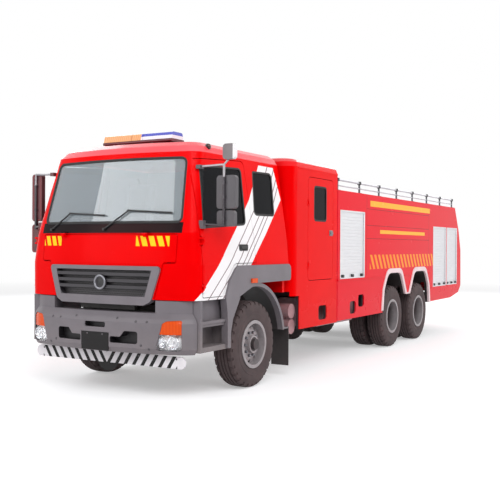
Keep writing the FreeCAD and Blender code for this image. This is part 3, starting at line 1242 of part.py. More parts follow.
def save_body():
    """Panels of the equipment body: sides, floor, deck, end walls, shutters, mudguards and rails."""
    whole = prism_x(tail_profile(0), -BODY_HALF, BODY_HALF)
    side_x = BODY_HALF - BODY_WALL
    side = prism_x(tail_profile(0), side_x, BODY_HALF)
    cutters = [prism_x(arch_outline(0), side_x - 1, BODY_HALF + 1)]
    for y0, y1, z0, z1 in shutter_bays():
        cutters.append(box(side_x - 1, BODY_HALF + 1, y0, y1, z0, z1))
    for y0, z0 in ((BODY_FRONT + 460, 690), (BODY_FRONT + 785, 775)):
        cutters.append(prism_x(rect(y0, y0 + 230, z0, z0 + 190, 50), side_x - 1, BODY_HALF + 1))
    side = cut_all(side, cutters)
    ledge = box(BODY_HALF, BODY_HALF + 14, BODY_FRONT, LOCKER_SEAM, SHUTTER_LOW - 40, SHUTTER_LOW - 16)
    ledge = ledge.cut(prism_x(arch_outline(100), BODY_HALF - 1, BODY_HALF + 20))
    side = fused([side] + ledge.Solids)
    save("body_sides", both(side))

    inner = prism_x(tail_profile(BODY_WALL), -side_x + SEAT_GAP, side_x - SEAT_GAP)
    band = whole.common(box(-side_x + SEAT_GAP, side_x - SEAT_GAP, BODY_FRONT, TAIL, BODY_FLOOR,
                            BODY_DECK)).cut(inner)
    deck_cut = BODY_DECK - BODY_WALL
    deck = band.common(box(-WIDE, WIDE, BODY_FRONT, TAIL, deck_cut + SEAT_GAP, BODY_DECK))
    hatches = [Part.makeCylinder(260, 26, V(0, y, BODY_DECK)) for y in (BOGIE - 1100, BOGIE + 500)]
    pad_y = BODY_FRONT + 520
    pad = box(-170, 170, pad_y - 170, pad_y + 170, BODY_DECK, BODY_DECK + PAD_H)
    save("body_deck", fused([deck, pad] + hatches))
    front_wall = band.common(box(-WIDE, WIDE, BODY_FRONT, BODY_FRONT + BODY_WALL, BODY_FLOOR, deck_cut))
    tail_wall = band.common(box(-WIDE, WIDE, TAIL - 900, TAIL, BODY_FLOOR, deck_cut))
    low_tail = whole.common(box(-side_x + SEAT_GAP, side_x - SEAT_GAP, TAIL - BODY_WALL - 130, TAIL, 700,
                                BODY_FLOOR))
    low_tail = low_tail.cut(prism_x(tail_profile(BODY_WALL), -WIDE, WIDE))
    tail_wall = fused([tail_wall, low_tail])
    tail_wall = tail_wall.cut(box(-REAR_DOOR_HALF, REAR_DOOR_HALF, TAIL - 200, TAIL + 1, REAR_DOOR_LOW,
                                  REAR_DOOR_HIGH))
    save("body_ends", [front_wall, tail_wall])

    save_body_floor(side_x)
    shutters = []
    for y0, y1, z0, z1 in shutter_bays():
        gap = SEAT_GAP
        shutters += both(slatted(y0 + gap, y1 - gap, z0 + gap, z1 - gap, BODY_HALF - SHUTTER_INSET))
    rear = slatted(-REAR_DOOR_HALF + SEAT_GAP, REAR_DOOR_HALF - SEAT_GAP, REAR_DOOR_LOW + SEAT_GAP,
                   REAR_DOOR_HIGH - SEAT_GAP, 0)
    rear.rotate(V(0, 0, 0), V(0, 0, 1), 90)
    rear.translate(V(0, TAIL - 36, 0))
    save("shutters", shutters + [rear])
    save("rear_mudguards", both(rear_mudguard(side_x)))
    save("roof_rails", both(roof_rail()) + [ladder()])


def save_body_floor(side_x):
    """Floor on its bearers, which sit on the frame rails under crew cabin and body."""
    y1 = TAIL - BODY_WALL - 40
    floor = box(-side_x + SEAT_GAP, side_x - SEAT_GAP, BODY_FRONT + BODY_WALL + SEAT_GAP, y1, BODY_FLOOR,
                BODY_FLOOR + FLOOR_T)
    wheel_room = prism_x(arch_outline(16), WHEEL_BOX_X - 1, side_x + 1)
    floor = cut_all(floor, both(wheel_room))
    pieces = [floor]
    bearer_h = BODY_FLOOR - RAIL_TOP
    stations = [CREW_FRONT + 300, CREW_BACK - 120, BODY_FRONT + 300, BODY_FRONT + 1100, AXLE_R + 900,
                TAIL - 900,
                TAIL - 300]
    pieces += both(box(RAIL_X - RAIL_W, RAIL_X, CREW_FRONT + 250, y1, RAIL_TOP + SEAT_GAP, BODY_FLOOR))
    for y in stations:
        reach = side_x - SEAT_GAP if y > BODY_FRONT else CREW_HALF - CREW_WALL - SEAT_GAP
        high = BODY_FLOOR if y > BODY_FRONT else BODY_FLOOR - SEAT_GAP
        pieces.append(box(-reach, reach, y - 30, y + 30, BODY_FLOOR - bearer_h + 20, high))
    save("body_floor", fused(pieces))


def rear_mudguard(side_x):
    """Left rear mudguard: a curved trough over both wheels and a pale rim on the body's side."""
    wall = 8.0
    outer_x = BODY_HALF + 14
    below = box(0, WIDE, BOGIE - 3000, BOGIE + 3000, ARCH_LOW - 10, REAR_SKIRT)
    trough = prism_x(arch_outline(wall), WHEEL_BOX_X, side_x - SEAT_GAP).cut(
        box(0, WIDE, BOGIE - 3000, BOGIE + 3000, ARCH_LOW - 10, RAIL_TOP + 20))
    lip = prism_x(arch_outline(-SEAT_GAP), side_x - 20, outer_x)
    rim = prism_x(arch_outline(68), BODY_HALF + SEAT_GAP, outer_x)
    inside = prism_x(arch_outline(-wall), WHEEL_BOX_X - 1, outer_x + 1)
    return cut_all(fused([trough, lip, rim]), [inside, below])


def roof_rail():
    """Left roof rail: posts on feet, a top tube and a middle tube."""
    x = BODY_HALF - 60
    pieces = [rod(V(x, RAIL_FIRST, ROOF_RAIL_Z), V(x, RAIL_LAST, ROOF_RAIL_Z), RAIL_TUBE_R)]
    pieces.append(rod(V(x, RAIL_FIRST, ROOF_RAIL_Z - 85), V(x, RAIL_LAST, ROOF_RAIL_Z - 85), 11))
    for index in range(RAIL_POSTS):
        y = RAIL_FIRST + (RAIL_LAST - RAIL_FIRST) * index / (RAIL_POSTS - 1)
        pieces.append(rod(V(x, y, BODY_DECK + SEAT_GAP), V(x, y, ROOF_RAIL_Z), 15))
        pieces.append(box(x - 35, x + 35, y - 35, y + 35, BODY_DECK + SEAT_GAP, BODY_DECK + 8))
        pieces.append(box(x - 24, x + 24, y - 24, y + 24, ROOF_RAIL_Z - 24, ROOF_RAIL_Z + 24))
    return fused(pieces)


def ladder():
    """Ladder up the leaning part of the tail, on the right, with hooked tops over the deck."""
    stiles = []
    for x in (LADDER_X - 170, LADDER_X + 170):
        points = [
            V(x, TAIL - 60, 1500), V(x, TAIL + LADDER_OUT, 1500), V(x, TAIL + LADDER_OUT, 1640),
            V(x, TAIL - 395, BODY_DECK + 60), V(x, TAIL - 560, BODY_DECK + 60),
            V(x, TAIL - 560, BODY_DECK - 20)]
        stiles.append(tube_run(points, LADDER_R))
    rungs = []
    for share in (0.02, 0.24, 0.46, 0.68, 0.9):
        y = TAIL + LADDER_OUT - share * 437
        z = 1640 + share * (BODY_DECK + 60 - 1640)
        rungs.append(rod(V(LADDER_X - 170, y, z), V(LADDER_X + 170, y, z), 12))
    return off_tail(fused(stiles + rungs))


def off_tail(shape):
    """A fitting trimmed to sit on the equipment body's skin."""
    return shape.cut(prism_x(tail_profile(-SEAT_GAP), -BODY_HALF, BODY_HALF))


def tail_lamp():
    """Left tail lamp cluster on the tail panel."""
    return off_tail(box(BODY_HALF - 290, BODY_HALF - 130, TAIL - 40, TAIL + 26, 960, 1280))


# ---------------------------------------------------------------- build
os.makedirs("parts", exist_ok=True)
save_wheels()
save_chassis()
save_running_gear()
save("knuckle_left", knuckle())
save("knuckle_right", mirrored(knuckle()))
save_cab()
save_front_end()
save("mirror_left", mirror_left())
save("mirror_right", mirrored(mirror_right()))
save_cab_inside()
save_crew_cabin()
save_body()
print("length", round(LENGTH), "axles", round(AXLE_F), round(AXLE_M), round(AXLE_R))
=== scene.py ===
# %% [markdown]
# # A six-wheel fire truck, dressed in Blender
# The truck's solid parts come from a CAD model as a fixed frame: cab, crew cabin, equipment body,
# chassis and wheels, each already in its place and on its own moving body. This lesson gives every
# part a worked finish and adds what the CAD model leaves out: tyre tread, window seals, lamps,
# handles, cushions and small trim. Lengths are in metres, +Z is up and the truck faces -Y.

# %% Load the frame and measure it
import math

import bmesh
import bpy
from mathutils import Matrix, Vector


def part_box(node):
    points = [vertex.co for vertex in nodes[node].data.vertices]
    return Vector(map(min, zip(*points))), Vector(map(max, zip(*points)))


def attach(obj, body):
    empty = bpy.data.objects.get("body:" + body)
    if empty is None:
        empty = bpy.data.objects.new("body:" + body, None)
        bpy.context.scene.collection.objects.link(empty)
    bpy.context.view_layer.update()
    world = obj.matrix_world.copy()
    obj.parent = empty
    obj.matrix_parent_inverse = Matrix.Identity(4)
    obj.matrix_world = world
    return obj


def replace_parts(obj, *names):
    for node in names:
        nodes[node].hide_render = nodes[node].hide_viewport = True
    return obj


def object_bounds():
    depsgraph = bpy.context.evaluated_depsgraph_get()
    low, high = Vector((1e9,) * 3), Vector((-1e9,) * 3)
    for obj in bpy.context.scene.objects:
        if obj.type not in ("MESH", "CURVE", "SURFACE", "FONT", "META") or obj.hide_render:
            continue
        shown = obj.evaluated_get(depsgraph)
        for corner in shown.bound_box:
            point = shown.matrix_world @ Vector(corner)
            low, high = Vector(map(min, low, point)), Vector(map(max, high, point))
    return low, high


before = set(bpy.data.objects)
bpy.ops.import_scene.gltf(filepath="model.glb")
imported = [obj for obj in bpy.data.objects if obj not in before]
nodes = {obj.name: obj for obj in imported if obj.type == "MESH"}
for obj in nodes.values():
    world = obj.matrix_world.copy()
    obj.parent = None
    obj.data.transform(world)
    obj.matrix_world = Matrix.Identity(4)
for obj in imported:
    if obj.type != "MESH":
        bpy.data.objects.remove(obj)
CAD_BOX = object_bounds()
NOSE = CAD_BOX[0][1]
FACE = NOSE + 0.100
SIDES = ((1, "left"), (-1, "right"))
WHEELS = [(place + "_" + word, side, plural)
          for place, plural in (("front", ""), ("middle", "s"), ("rear", "s")) for side, word in SIDES]
print("CAD box", CAD_BOX, "nodes", len(nodes))


# %% [markdown]
# ## Camera
# The view is from the truck's front left, low, at about a driver's eye height. A camera could be
# aimed with a Track To constraint, but a level with a small roll is easier to write as three axes:
# right, up and back. The lens is a mild telephoto, so parallel edges stay nearly parallel.

# %% Camera
def aim_camera(place, yaw, pitch, roll, lens):
    """Camera at a place, turned by yaw from +Y towards -X, then pitched and rolled, in degrees."""
    yaw, pitch, roll = (math.radians(turn) for turn in (yaw, pitch, roll))
    ahead = Vector((-math.sin(yaw) * math.cos(pitch), math.cos(yaw) * math.cos(pitch), math.sin(pitch)))
    level = Vector((math.cos(yaw), math.sin(yaw), 0.0))
    above = level.cross(ahead)
    right = level * math.cos(roll) + above * math.sin(roll)
    up = above * math.cos(roll) - level * math.sin(roll)
    bpy.ops.object.camera_add(location=place)
    camera = bpy.context.object
    camera.matrix_world = Matrix.Translation(place) @ Matrix((right, up, -ahead)).transposed().to_4x4()
    camera.data.lens = lens
    camera.data.sensor_width = 36.0
    camera.data.clip_end = 200.0
    bpy.context.scene.camera = camera
    return camera


camera = aim_camera(Vector((6.078, FACE - 7.018, 1.708)), 30.37, -0.28, 0.37, 57.8)
print("camera at", tuple(round(v, 3) for v in camera.location))


# %% [markdown]
# ## Shader maths
# A pattern on paint is a sum of small tests on position, such as "left of this line and above that
# one". Wiring each as nodes by hand is slow to read, so a small class wraps one output socket and
# gives it Python's operators. Each operation on it adds one Math node.

# %% Term: a number with operators
def operator(operation, turned=False):
    """A method that adds one Math node between a Term and a number or another Term."""
    def method(self, other):
        pair = [other, self] if turned else [self, other]
        return self.finish.node("ShaderNodeMath", {"operation": operation}, pair)
    return method


class Term:
    """A number that changes over a surface: one output socket with Python's operators."""

    def __init__(self, finish, socket):
        self.finish = finish
        self.socket = socket

    __add__ = __radd__ = operator("ADD")
    __sub__ = operator("SUBTRACT")
    __rsub__ = operator("SUBTRACT", turned=True)
    __mul__ = __rmul__ = operator("MULTIPLY")
    __truediv__ = operator("DIVIDE")
    __mod__ = operator("FLOORED_MODULO")
    __gt__ = operator("GREATER_THAN")
    __lt__ = operator("LESS_THAN")
    most = operator("MAXIMUM")
    least = operator("MINIMUM")

    def __abs__(self):
        return self.finish.node("ShaderNodeMath", {"operation": "ABSOLUTE"}, [self])

    def held(self, high=1.0):
        """The number kept between 0 and a highest value."""
        return self.most(0.0).least(high)

    def between(self, low, high):
        """1 where the number lies between two others, 0 elsewhere."""
        return (self > low) * (self < high)


# %% Finish: a material in the making
def paint(red, green, blue):
    """Display colour from 0-255 as the linear colour a shader takes."""
    linear = [(c / 255 / 12.92) if c <= 10 else ((c / 255 + 0.055) / 1.055) ** 2.4
              for c in (red, green, blue)]
    return (*linear, 1.0)


class Finish:
    """A material, or the world: node() adds any node, surface() closes it with a Principled shader."""

    def __init__(self, name, world=False):
        self.made = (bpy.data.worlds if world else bpy.data.materials).new(name)
        self.made.use_nodes = True
        self.tree = self.made.node_tree
        self.tree.nodes.clear()
        self.out = self.tree.nodes.new("ShaderNodeOutputWorld" if world else "ShaderNodeOutputMaterial")

    def node(self, kind, settings=None, values=None, output=0):
        """Adds a node, sets it, then fills its inputs by index or name with numbers, colours or Terms."""
        made = self.tree.nodes.new(kind)
        for key, setting in (settings or {}).items():
            setattr(made, key, setting)
        pairs = values.items() if isinstance(values, dict) else enumerate(values or [])
        for key, value in pairs:
            if isinstance(value, Term):
                self.tree.links.new(value.socket, made.inputs[key])
            else:
                made.inputs[key].default_value = value
        return Term(self, made.outputs[output])

    def axes(self):
        """Position on the truck as three numbers."""
        place = self.node("ShaderNodeTexCoord", output=3)
        return [self.node("ShaderNodeSeparateXYZ", None, [place], axis) for axis in range(3)]

    def noise(self, scale, detail=3.0, rough=0.5, stretch=(1.0, 1.0, 1.0)):
        """Cloudy pattern from 0 to 1, so many waves a metre, stretched along an axis if asked."""
        place = self.node("ShaderNodeTexCoord", output=3)
        place = self.node("ShaderNodeMapping", None, {"Vector": place, "Scale": stretch})
        return self.node("ShaderNodeTexNoise", None,
                         {"Vector": place, "Scale": scale, "Detail": detail, "Roughness": rough})

    def mix(self, share, first, second):
        """Colour between two, by a number from 0 to 1. A plain colour is three values, 0 to 255."""
        first, second = (paint(*tone) if isinstance(tone, tuple) else tone for tone in (first, second))
        return self.node("ShaderNodeMix", {"data_type": "RGBA", "clamp_factor": True},
                         {0: share, 6: first, 7: second}, 2)

    def close(self, shader):
        """Sends a shader to the output."""
        self.tree.links.new(shader.socket, self.out.inputs[0])
        return self.made

    def surface(self, colour, rough, relief=None, **sockets):
        """Closes the finish: colour, roughness, relief as (height, strength, depth), other inputs."""
        named = {key.replace("_", " ").title().replace("Ior", "IOR"): value
                 for key, value in sockets.items()}
        if relief:
            values = dict(zip(("Height", "Strength", "Distance"), relief))
            named["Normal"] = self.node("ShaderNodeBump", None, values)
        named.update({"Base Color": colour, "Roughness": rough})
        return self.close(self.node("ShaderNodeBsdfPrincipled", None, named))


FINISHES = {}


def recipe(make):
    """Makes a finish with the function's name and keeps it under that name."""
    name = make.__name__
    FINISHES[name] = make(Finish(name))
    return make


def bent(term, points):
    """Height of a line through (along, height) points, a sum of slopes that start one after another."""
    slopes = [(b[1] - a[1]) / (b[0] - a[0]) for a, b in zip(points, points[1:])]
    line = (term - points[0][0]) * slopes[0] + points[0][1]
    for corner, before, after in zip(points[1:], slopes, slopes[1:]):
        line = line + (term - corner[0]).most(0.0) * (after - before)
    return line


print("paint(200, 20, 30) is", paint(200, 20, 30))


# %% [markdown]
# ## Floor and light
# The truck stands on a plain pale floor. The world and floor look white to the camera, which comes
# from their own materials and not from brighter lamps, so colours on the truck stay as written.
# Large soft area lamps on both sides and above stand in for an overcast sky.

# %% Floor and sky
WHITE = (1.0, 1.0, 1.0, 1.0)
SKY_STRENGTH = 0.5
FLOOR_GLOW = 0.36


def seen(finish):
    """1 for rays from the camera and those by way of mirrors and glass, 0 for the rest."""
    camera_ray, glossy, through = (finish.node("ShaderNodeLightPath", output=output)
                                   for output in (0, 3, 6))
    return camera_ray.most(glossy).most(through)


def backdrop_shader():
    """A pale floor that fades to pure white far from the truck, where it is seen directly."""
    finish = Finish("pale_floor")
    matt = finish.node("ShaderNodeBsdfDiffuse", None, {"Color": paint(232, 232, 234)})
    glow = finish.node("ShaderNodeEmission", None, {"Color": WHITE, "Strength": FLOOR_GLOW})
    white = finish.node("ShaderNodeEmission", None, {"Color": WHITE, "Strength": 1.0})
    near = finish.node("ShaderNodeAddShader", None, [matt, glow])
    x, y, z = finish.axes()
    far = ((x * x + y * y) * 0.0016 - 0.12).held()
    backdrop = finish.node("ShaderNodeMixShader", None, [far, near, white])
    return finish.close(finish.node("ShaderNodeMixShader", None, [seen(finish), matt, backdrop]))


bpy.ops.object.select_all(action="DESELECT")
bpy.ops.mesh.primitive_plane_add(size=240, location=(0, 0, 0))
floor = bpy.context.object
floor.name = "floor"
floor.data.materials.append(backdrop_shader())
sky = Finish("studio", world=True)
even, bright = (sky.node("ShaderNodeBackground", None, [WHITE, strength])
                for strength in (SKY_STRENGTH, 1.0))
bpy.context.scene.world = sky.close(sky.node("ShaderNodeMixShader", None, [seen(sky), even, bright]))
bpy.context.scene.view_settings.view_transform = "Standard"
print("floor and sky made")


# %% Lamps
def softbox(name, place, aim, size, power):
    """Square area lamp at a place, turned to shine on a point."""
    bpy.ops.object.light_add(type="AREA", location=place)
    lamp = bpy.context.object
    lamp.name = name
    lamp.data.shape = "SQUARE"
    lamp.data.size = size
    lamp.data.energy = power
    lamp.rotation_euler = (Vector(aim) - Vector(place)).to_track_quat("-Z", "Y").to_euler()
    return lamp


for lamp in (("key_lamp", (9.0, NOSE - 7.0, 9.0), (0, 0, 1.5), 8.0, 1000),
             ("front_lamp", (-6.0, NOSE - 9.0, 6.0), (0, NOSE + 2, 1.4), 7.0, 520),
             ("side_lamp", (13.0, 3.0, 7.0), (0, 2.0, 1.5), 9.0, 720),
             ("far_lamp", (-12.0, 4.0, 8.0), (0, 1.0, 1.5), 9.0, 640),
             ("tail_lamp", (0.0, 16.0, 8.0), (0, 4.0, 1.5), 8.0, 560)):
    softbox(*lamp)


# %% [markdown]
# ## Red coachwork
# Fire red is a thick glossy paint with a clear coat. Close up it has faint ripples where thin sheet
# was rolled and a film of dust low down. A white slanted band with dark pinstripes crosses each side
# of the cab, and a row of slanted orange bars runs along the body above the rear wheels. The bands
# are tests on position, so that they line up where doors and fixed panels meet.

# %% Patterns on the cab
def cab_band(x, along, z):
    """Slanted white band on both cab sides, and the distance behind its front edge in metres."""
    front_edge = bent(z, [(1.10, 0.11), (1.46, 0.52), (1.81, 0.88), (2.27, 1.38), (2.70, 1.71)])
    rear_edge = bent(z, [(1.10, 0.85), (1.66, 1.46), (2.31, 2.20), (2.72, 2.10)])
    round_corner = (1.24 - abs(x)).most(0.0) * (z < 1.6) * 0.57
    behind = along - round_corner - front_edge
    inside = (behind > 0.0) * (along < rear_edge) * (z < 2.72) * (abs(x) > 0.9) * (along < 2.26)
    return inside, behind


def band_lines(behind):
    """Thin dark lines that follow the band, closer together towards the rear."""
    first, *others = (abs(behind - place) < 0.010 for place in (0.225, 0.405, 0.53, 0.62))
    for line in others:
        first = first.most(line)
    return first


def swage(x, along, z):
    """Rounded crease pressed along the cab's side and the corner of its front."""
    line = 1.0 - (abs(z - 1.625) * 28.0).least(1.0)
    return line * line * along.between(0.2, 2.2) * (abs(x) > 1.0)


def front_dashes(x, along, z):
    """Plain yellow dashes at both ends of the lid's upper edge."""
    row = z.between(1.700, 1.812) * (along < 0.22)
    left = x.between(0.47, 0.89)
    right = (x < -0.66) * (x > -0.975)
    return left.most(right) * row * (((x + z * 0.35) % 0.105) < 0.068)


# %% Patterns on the body
BODY_FACE = 1.19


def side_bars(x, along, z):
    """Slanted bars low on both sides of the equipment body."""
    leaning = (along + (z - 1.35) * 0.62) % 0.172
    on_side = (abs(x) > BODY_FACE) * along.between(5.01, 8.27)
    return (leaning < 0.088) * z.between(1.35, 1.58) * on_side


def gold_stripes(x, along, z):
    """Two plain gold stripes on the equipment body."""
    high = z.between(2.355, 2.445) * along.between(5.02, 8.05)
    low = z.between(1.925, 1.985) * along.between(5.45, 7.75)
    return high.most(low) * (abs(x) > BODY_FACE)


def seams(x, along, z):
    """Lines where the body's side panels meet."""
    half_gap = 0.004
    upright = (abs(along - 4.87) < half_gap).most(abs(along - 8.0) < half_gap) * (z > 1.25)
    level = (abs(z - 2.31) < half_gap).most(abs(z - 2.05) < half_gap).most(abs(z - 1.84) < half_gap)
    level = level * along.between(4.87, 8.0)
    return upright.most(level) * (abs(x) > BODY_FACE) * (along > 3.75)


def painted_inside_shade(x, along, z):
    """Painted shade: dark grey on the insides of the cab and crew cabin, in the space behind the lid and on the
    backs of the skirts.
    """
    half = bent(z, [(1.5, 1.21), (1.85, 1.175), (2.765, 1.03)])
    cab_room = (abs(x) < half) * along.between(0.45, 2.20) * z.between(1.27, 2.74)
    crew_room = (abs(x) < 1.21) * along.between(2.46, 3.72) * z.between(1.15, 2.84)
    behind_lid = ((abs(x) < 0.96) * (along - x * x * 0.10 > 0.125) * (along < 0.45)
                  * z.between(1.0, 1.83))
    skirt_back = (abs(x) < 1.232) * (z < 1.285) * along.between(2.46, 9.9)
    return cab_room.most(crew_room).most(behind_lid).most(skirt_back)


# %% Red paint
@recipe
def red_paint(finish):
    x, y, z = finish.axes()
    along = y - FACE
    band, behind = cab_band(x, along, z)
    ripple = finish.noise(2.2, 2.0)
    dust = finish.noise(5.0, 5.0, 0.6)
    red = finish.mix(ripple, (220, 0, 2), (236, 1, 4))
    low_dust = ((1.0 - z) * 1.1).held() * dust * 0.4
    red = finish.mix(low_dust, red, (150, 60, 50))
    facing = finish.node("ShaderNodeTexCoord", output=1)
    upward = finish.node("ShaderNodeSeparateXYZ", None, [facing], 2)
    red = finish.mix((along > 3.73) * 0.8, red, (224, 0, 34))
    # Painted reflection: faces that look upwards are mixed towards pink, most of all the sloping ones and the
    # cab's brow. The pink stands in for the sky mirrored in the paint.
    brow_highlight = (z > 2.60) * (along < 2.26) * 0.5
    rise = ((upward - 0.24) * 1.8).held()
    slope = rise * ((1 - upward) * 6).held()
    red = finish.mix(rise * (ripple * 0.2 + 0.05) + slope * (brow_highlight + 0.08), red, (250, 120, 132))
    seam = seams(x, along, z)
    red = finish.mix(seam * 0.8, red, (96, 6, 12))
    white = finish.mix(band_lines(behind) * 0.85, (236, 234, 236), (92, 56, 60))
    colour = finish.mix(band, red, white)
    # Painted shade: the insides are coloured dark grey and lose their coat, standing in for the shade inside
    # them.
    inside_shade = painted_inside_shade(x, along, z)
    cowl = z.between(1.846, 1.965) * (along < 0.34) * (abs(x) < 1.03)
    for mask, tone in ((side_bars(x, along, z), (246, 146, 34)), (gold_stripes(x, along, z), (248, 178, 52)),
                       (front_dashes(x, along, z), (245, 205, 40)), (inside_shade, (58, 55, 58)),
                       (cowl, (26, 26, 28))):
        colour = finish.mix(mask, colour, tone)
    rough = low_dust * 0.35 + dust * 0.05 + 0.24
    orange_peel = finish.noise(260.0, 2.0)
    relief = ripple + orange_peel * 0.03 - seam * 0.5 + swage(x, along, z) * 1.2
    coat = slope * 0.45 + 0.02 + (along > 3.75) * (abs(x) > 1.1) * 0.07
    return finish.surface(colour, rough, (relief, 0.22, 0.004), specular_ior_level=0.07,
                          specular_tint=(1.0, 0.08, 0.08, 1.0), coat_weight=coat * (1 - inside_shade),
                          coat_roughness=0.08)


print("nodes in red paint", len(FINISHES["red_paint"].node_tree.nodes))


# %% [markdown]
# ## Plastics, rubber, glass and metal
# Moulded plastic has a fine leather-like grain. Tyre rubber is
# dull and dusty on its walls. Wheels are silver lacquer, with painted shade darkening the deep inner dish
# round the nuts. Each finish gets its own recipe of colour noise, roughness and fine bump.

# %% Moulded plastics
def moulded(name, dark, light, grain=420.0, rough=0.5, dust=(0.9, 0.6), film=(166, 150, 136), shade=None):
    """Moulded plastic: two near tones, fine grain, dust near the ground, and a darker part if asked: painted
    shade in the grille's and bumper's recesses, black rubber on the mudguard.
    """
    finish = Finish(name)
    x, y, z = finish.axes()
    fine = finish.noise(grain, 2.0)
    colour = finish.mix(finish.noise(3.5, 4.0), dark, light)
    dirt = ((0.95 - z) * dust[0]).held(dust[1]) * finish.noise(9.0, 5.0, 0.65)
    colour = finish.mix(dirt, colour, film)
    if shade:
        part, tone = shade(finish, x, y, z, dirt)
        colour = finish.mix(part, colour, tone)
    FINISHES[name] = finish.surface(colour, dirt * 0.3 + fine * 0.12 + rough, (fine, 0.25, 0.0006))


def grille_recess_shade(finish, x, y, z, dirt):
    """Painted shade: the slats, set back inside the grille's opening, are darkened."""
    return (abs(x) - (z - 1.140) * 0.29 < 0.617) * z.between(1.140, 1.433), (44, 41, 46)


def bumper_hollow_shade(finish, x, y, z, dirt):
    """Painted shade: the bumper's hollows and the slot above its plate are darkened almost to black."""
    deep = (y > NOSE + x * x * 0.085 + 0.014) * z.between(0.60, 0.87)
    hollow = abs(x).between(0.205, 0.59) * (z < 0.77)
    slot = (abs(x) < 0.155) * z.between(0.785, 0.855)
    return deep * hollow.most(slot), (26, 24, 27)


def mudguard_rubber(finish, x, y, z, dirt):
    """The black flap behind the front wheel and the liner over it."""
    flap = (y > FACE + 2.270) * (z < 0.662)
    liner = (abs(x) < 1.17) * (y > FACE + 0.75)
    return flap.most(liner), finish.mix(dirt, (38, 35, 37), (88, 78, 76))


ROAD_DUST = {"rough": 0.42, "dust": (0.7, 0.5), "film": (150, 138, 134)}
moulded("grey_plastic", (94, 89, 94), (112, 106, 112))
moulded("pale_plastic", (176, 176, 180), (206, 206, 210), rough=0.38)
moulded("black_plastic", (14, 14, 15), (30, 29, 31), rough=0.42)
moulded("bellows_rubber", (20, 20, 21), (36, 35, 36), 200.0, 0.65)
moulded("dark_lens", (46, 22, 16), (96, 44, 26), 300.0, 0.25)
moulded("mirror_rim", (118, 40, 46), (158, 66, 70), 300.0, 0.35)
moulded("maroon_plastic", (70, 8, 22), (112, 16, 34), 300.0, 0.3)
moulded("grille_plastic", (98, 93, 98), (120, 114, 120), rough=0.42, shade=grille_recess_shade)
moulded("bumper_plastic", (94, 89, 94), (114, 108, 114), shade=bumper_hollow_shade, **ROAD_DUST)
moulded("mudguard_plastic", (96, 91, 96), (118, 112, 118), shade=mudguard_rubber, **ROAD_DUST)
print("plastics", len(FINISHES))


# %% Metals
METALS = {
    "chassis_black": ((28, 27, 27), (52, 48, 46), 0.5),
    "shutter_metal": ((206, 207, 210), (232, 232, 235), 0.3, 0.45, (1.0, 1.0, 18.0)),
    "reflector": ((226, 226, 228), (246, 244, 244), 0.16, 0.25, (30.0, 1.0, 2.0)),
    "bolt_steel": ((58, 54, 58), (96, 92, 96), 0.35, 0.4),
    "dull_chrome": ((96, 96, 102), (150, 150, 156), 0.2, 0.85),
    "mirror_glass": ((222, 226, 230), (236, 238, 240), 0.03, 1.0),
    "chrome": ((214, 216, 220), (236, 237, 240), 0.08, 1.0),
    "tank_paint": ((120, 76, 80), (190, 154, 158), 0.4, 0.2)}


def painted_metal(name, dark, light, rough, metallic=0.0, streak=(1.0, 1.0, 1.0)):
    """Painted or plain metal with cloudy wear and fine scratches."""
    finish = Finish(name)
    fine = finish.noise(120.0, 3.0, 0.5, streak)
    colour = finish.mix(finish.noise(7.0, 5.0, 0.6, streak), dark, light)
    FINISHES[name] = finish.surface(colour, fine * 0.2 + rough, (fine, 0.18, 0.0008), metallic=metallic)


for name, look in METALS.items():
    painted_metal(name, *look)
print("with metals", len(FINISHES))


# %% Glass
def tinted_glass(name, tint, rough=0.02, see=0.93, shine=0.5, film=0.4, solid=1.0, ior=1.45):
    """Glass with a glossy film; below 1, solid lets light straight in on what is behind."""
    finish = Finish(name)
    smear = finish.noise(3.0, 4.0, 0.6)
    FINISHES[name] = finish.surface(paint(*tint), smear * 0.03 + rough, transmission_weight=see, ior=ior,
                                    specular_ior_level=shine, coat_weight=film, coat_roughness=0.03,
                                    alpha=solid)


tinted_glass("lamp_clear", (238, 240, 244), 0.04, solid=0.3)
tinted_glass("windshield_glass", (200, 210, 216), see=0.72)
tinted_glass("side_glass", (46, 48, 60), see=0.92, shine=0.10, film=0.0, ior=1.15)
print("with glass", len(FINISHES))


# %% Lamps and boards
@recipe
def board_paint(finish):
    """White board with black bars that lean towards the middle, black flap below."""
    x, y, z = finish.axes()
    bars = ((abs(x) - (z - 0.364) * 0.62) % 0.121 < 0.050) * (abs(x) < 0.99)
    on_board = (y > NOSE + 0.2) * z.between(0.364, 0.499)
    plate = (y < NOSE + 0.1) * (z > 0.5)
    cloud = finish.noise(8.0, 4.0)
    black = finish.mix(cloud, (10, 9, 10), (24, 22, 23))
    white = finish.mix(cloud, (206, 200, 204), (236, 234, 238))
    colour = finish.mix(on_board * (1 - bars), black, white)
    return finish.surface(colour, cloud * 0.2 + 0.45 + plate * 0.05, specular_ior_level=0.25,
                          coat_weight=0.05)


@recipe
def light_lenses(finish):
    """Light bar lenses: amber on the truck's right, blue over clear on its left."""
    x, y, z = finish.axes()
    ribs = abs((x % 0.03) - 0.015) * (1 / 0.03)
    amber = finish.mix(ribs, (226, 150, 84), (252, 208, 150))
    blue = finish.mix(ribs, (52, 60, 176), (96, 110, 226))
    colour = finish.mix(x > 0.06, amber, finish.mix(z > 3.012, (236, 238, 246), blue))
    return finish.surface(colour, 0.15, (ribs, 0.4, 0.002), coat_weight=0.8, coat_roughness=0.05)


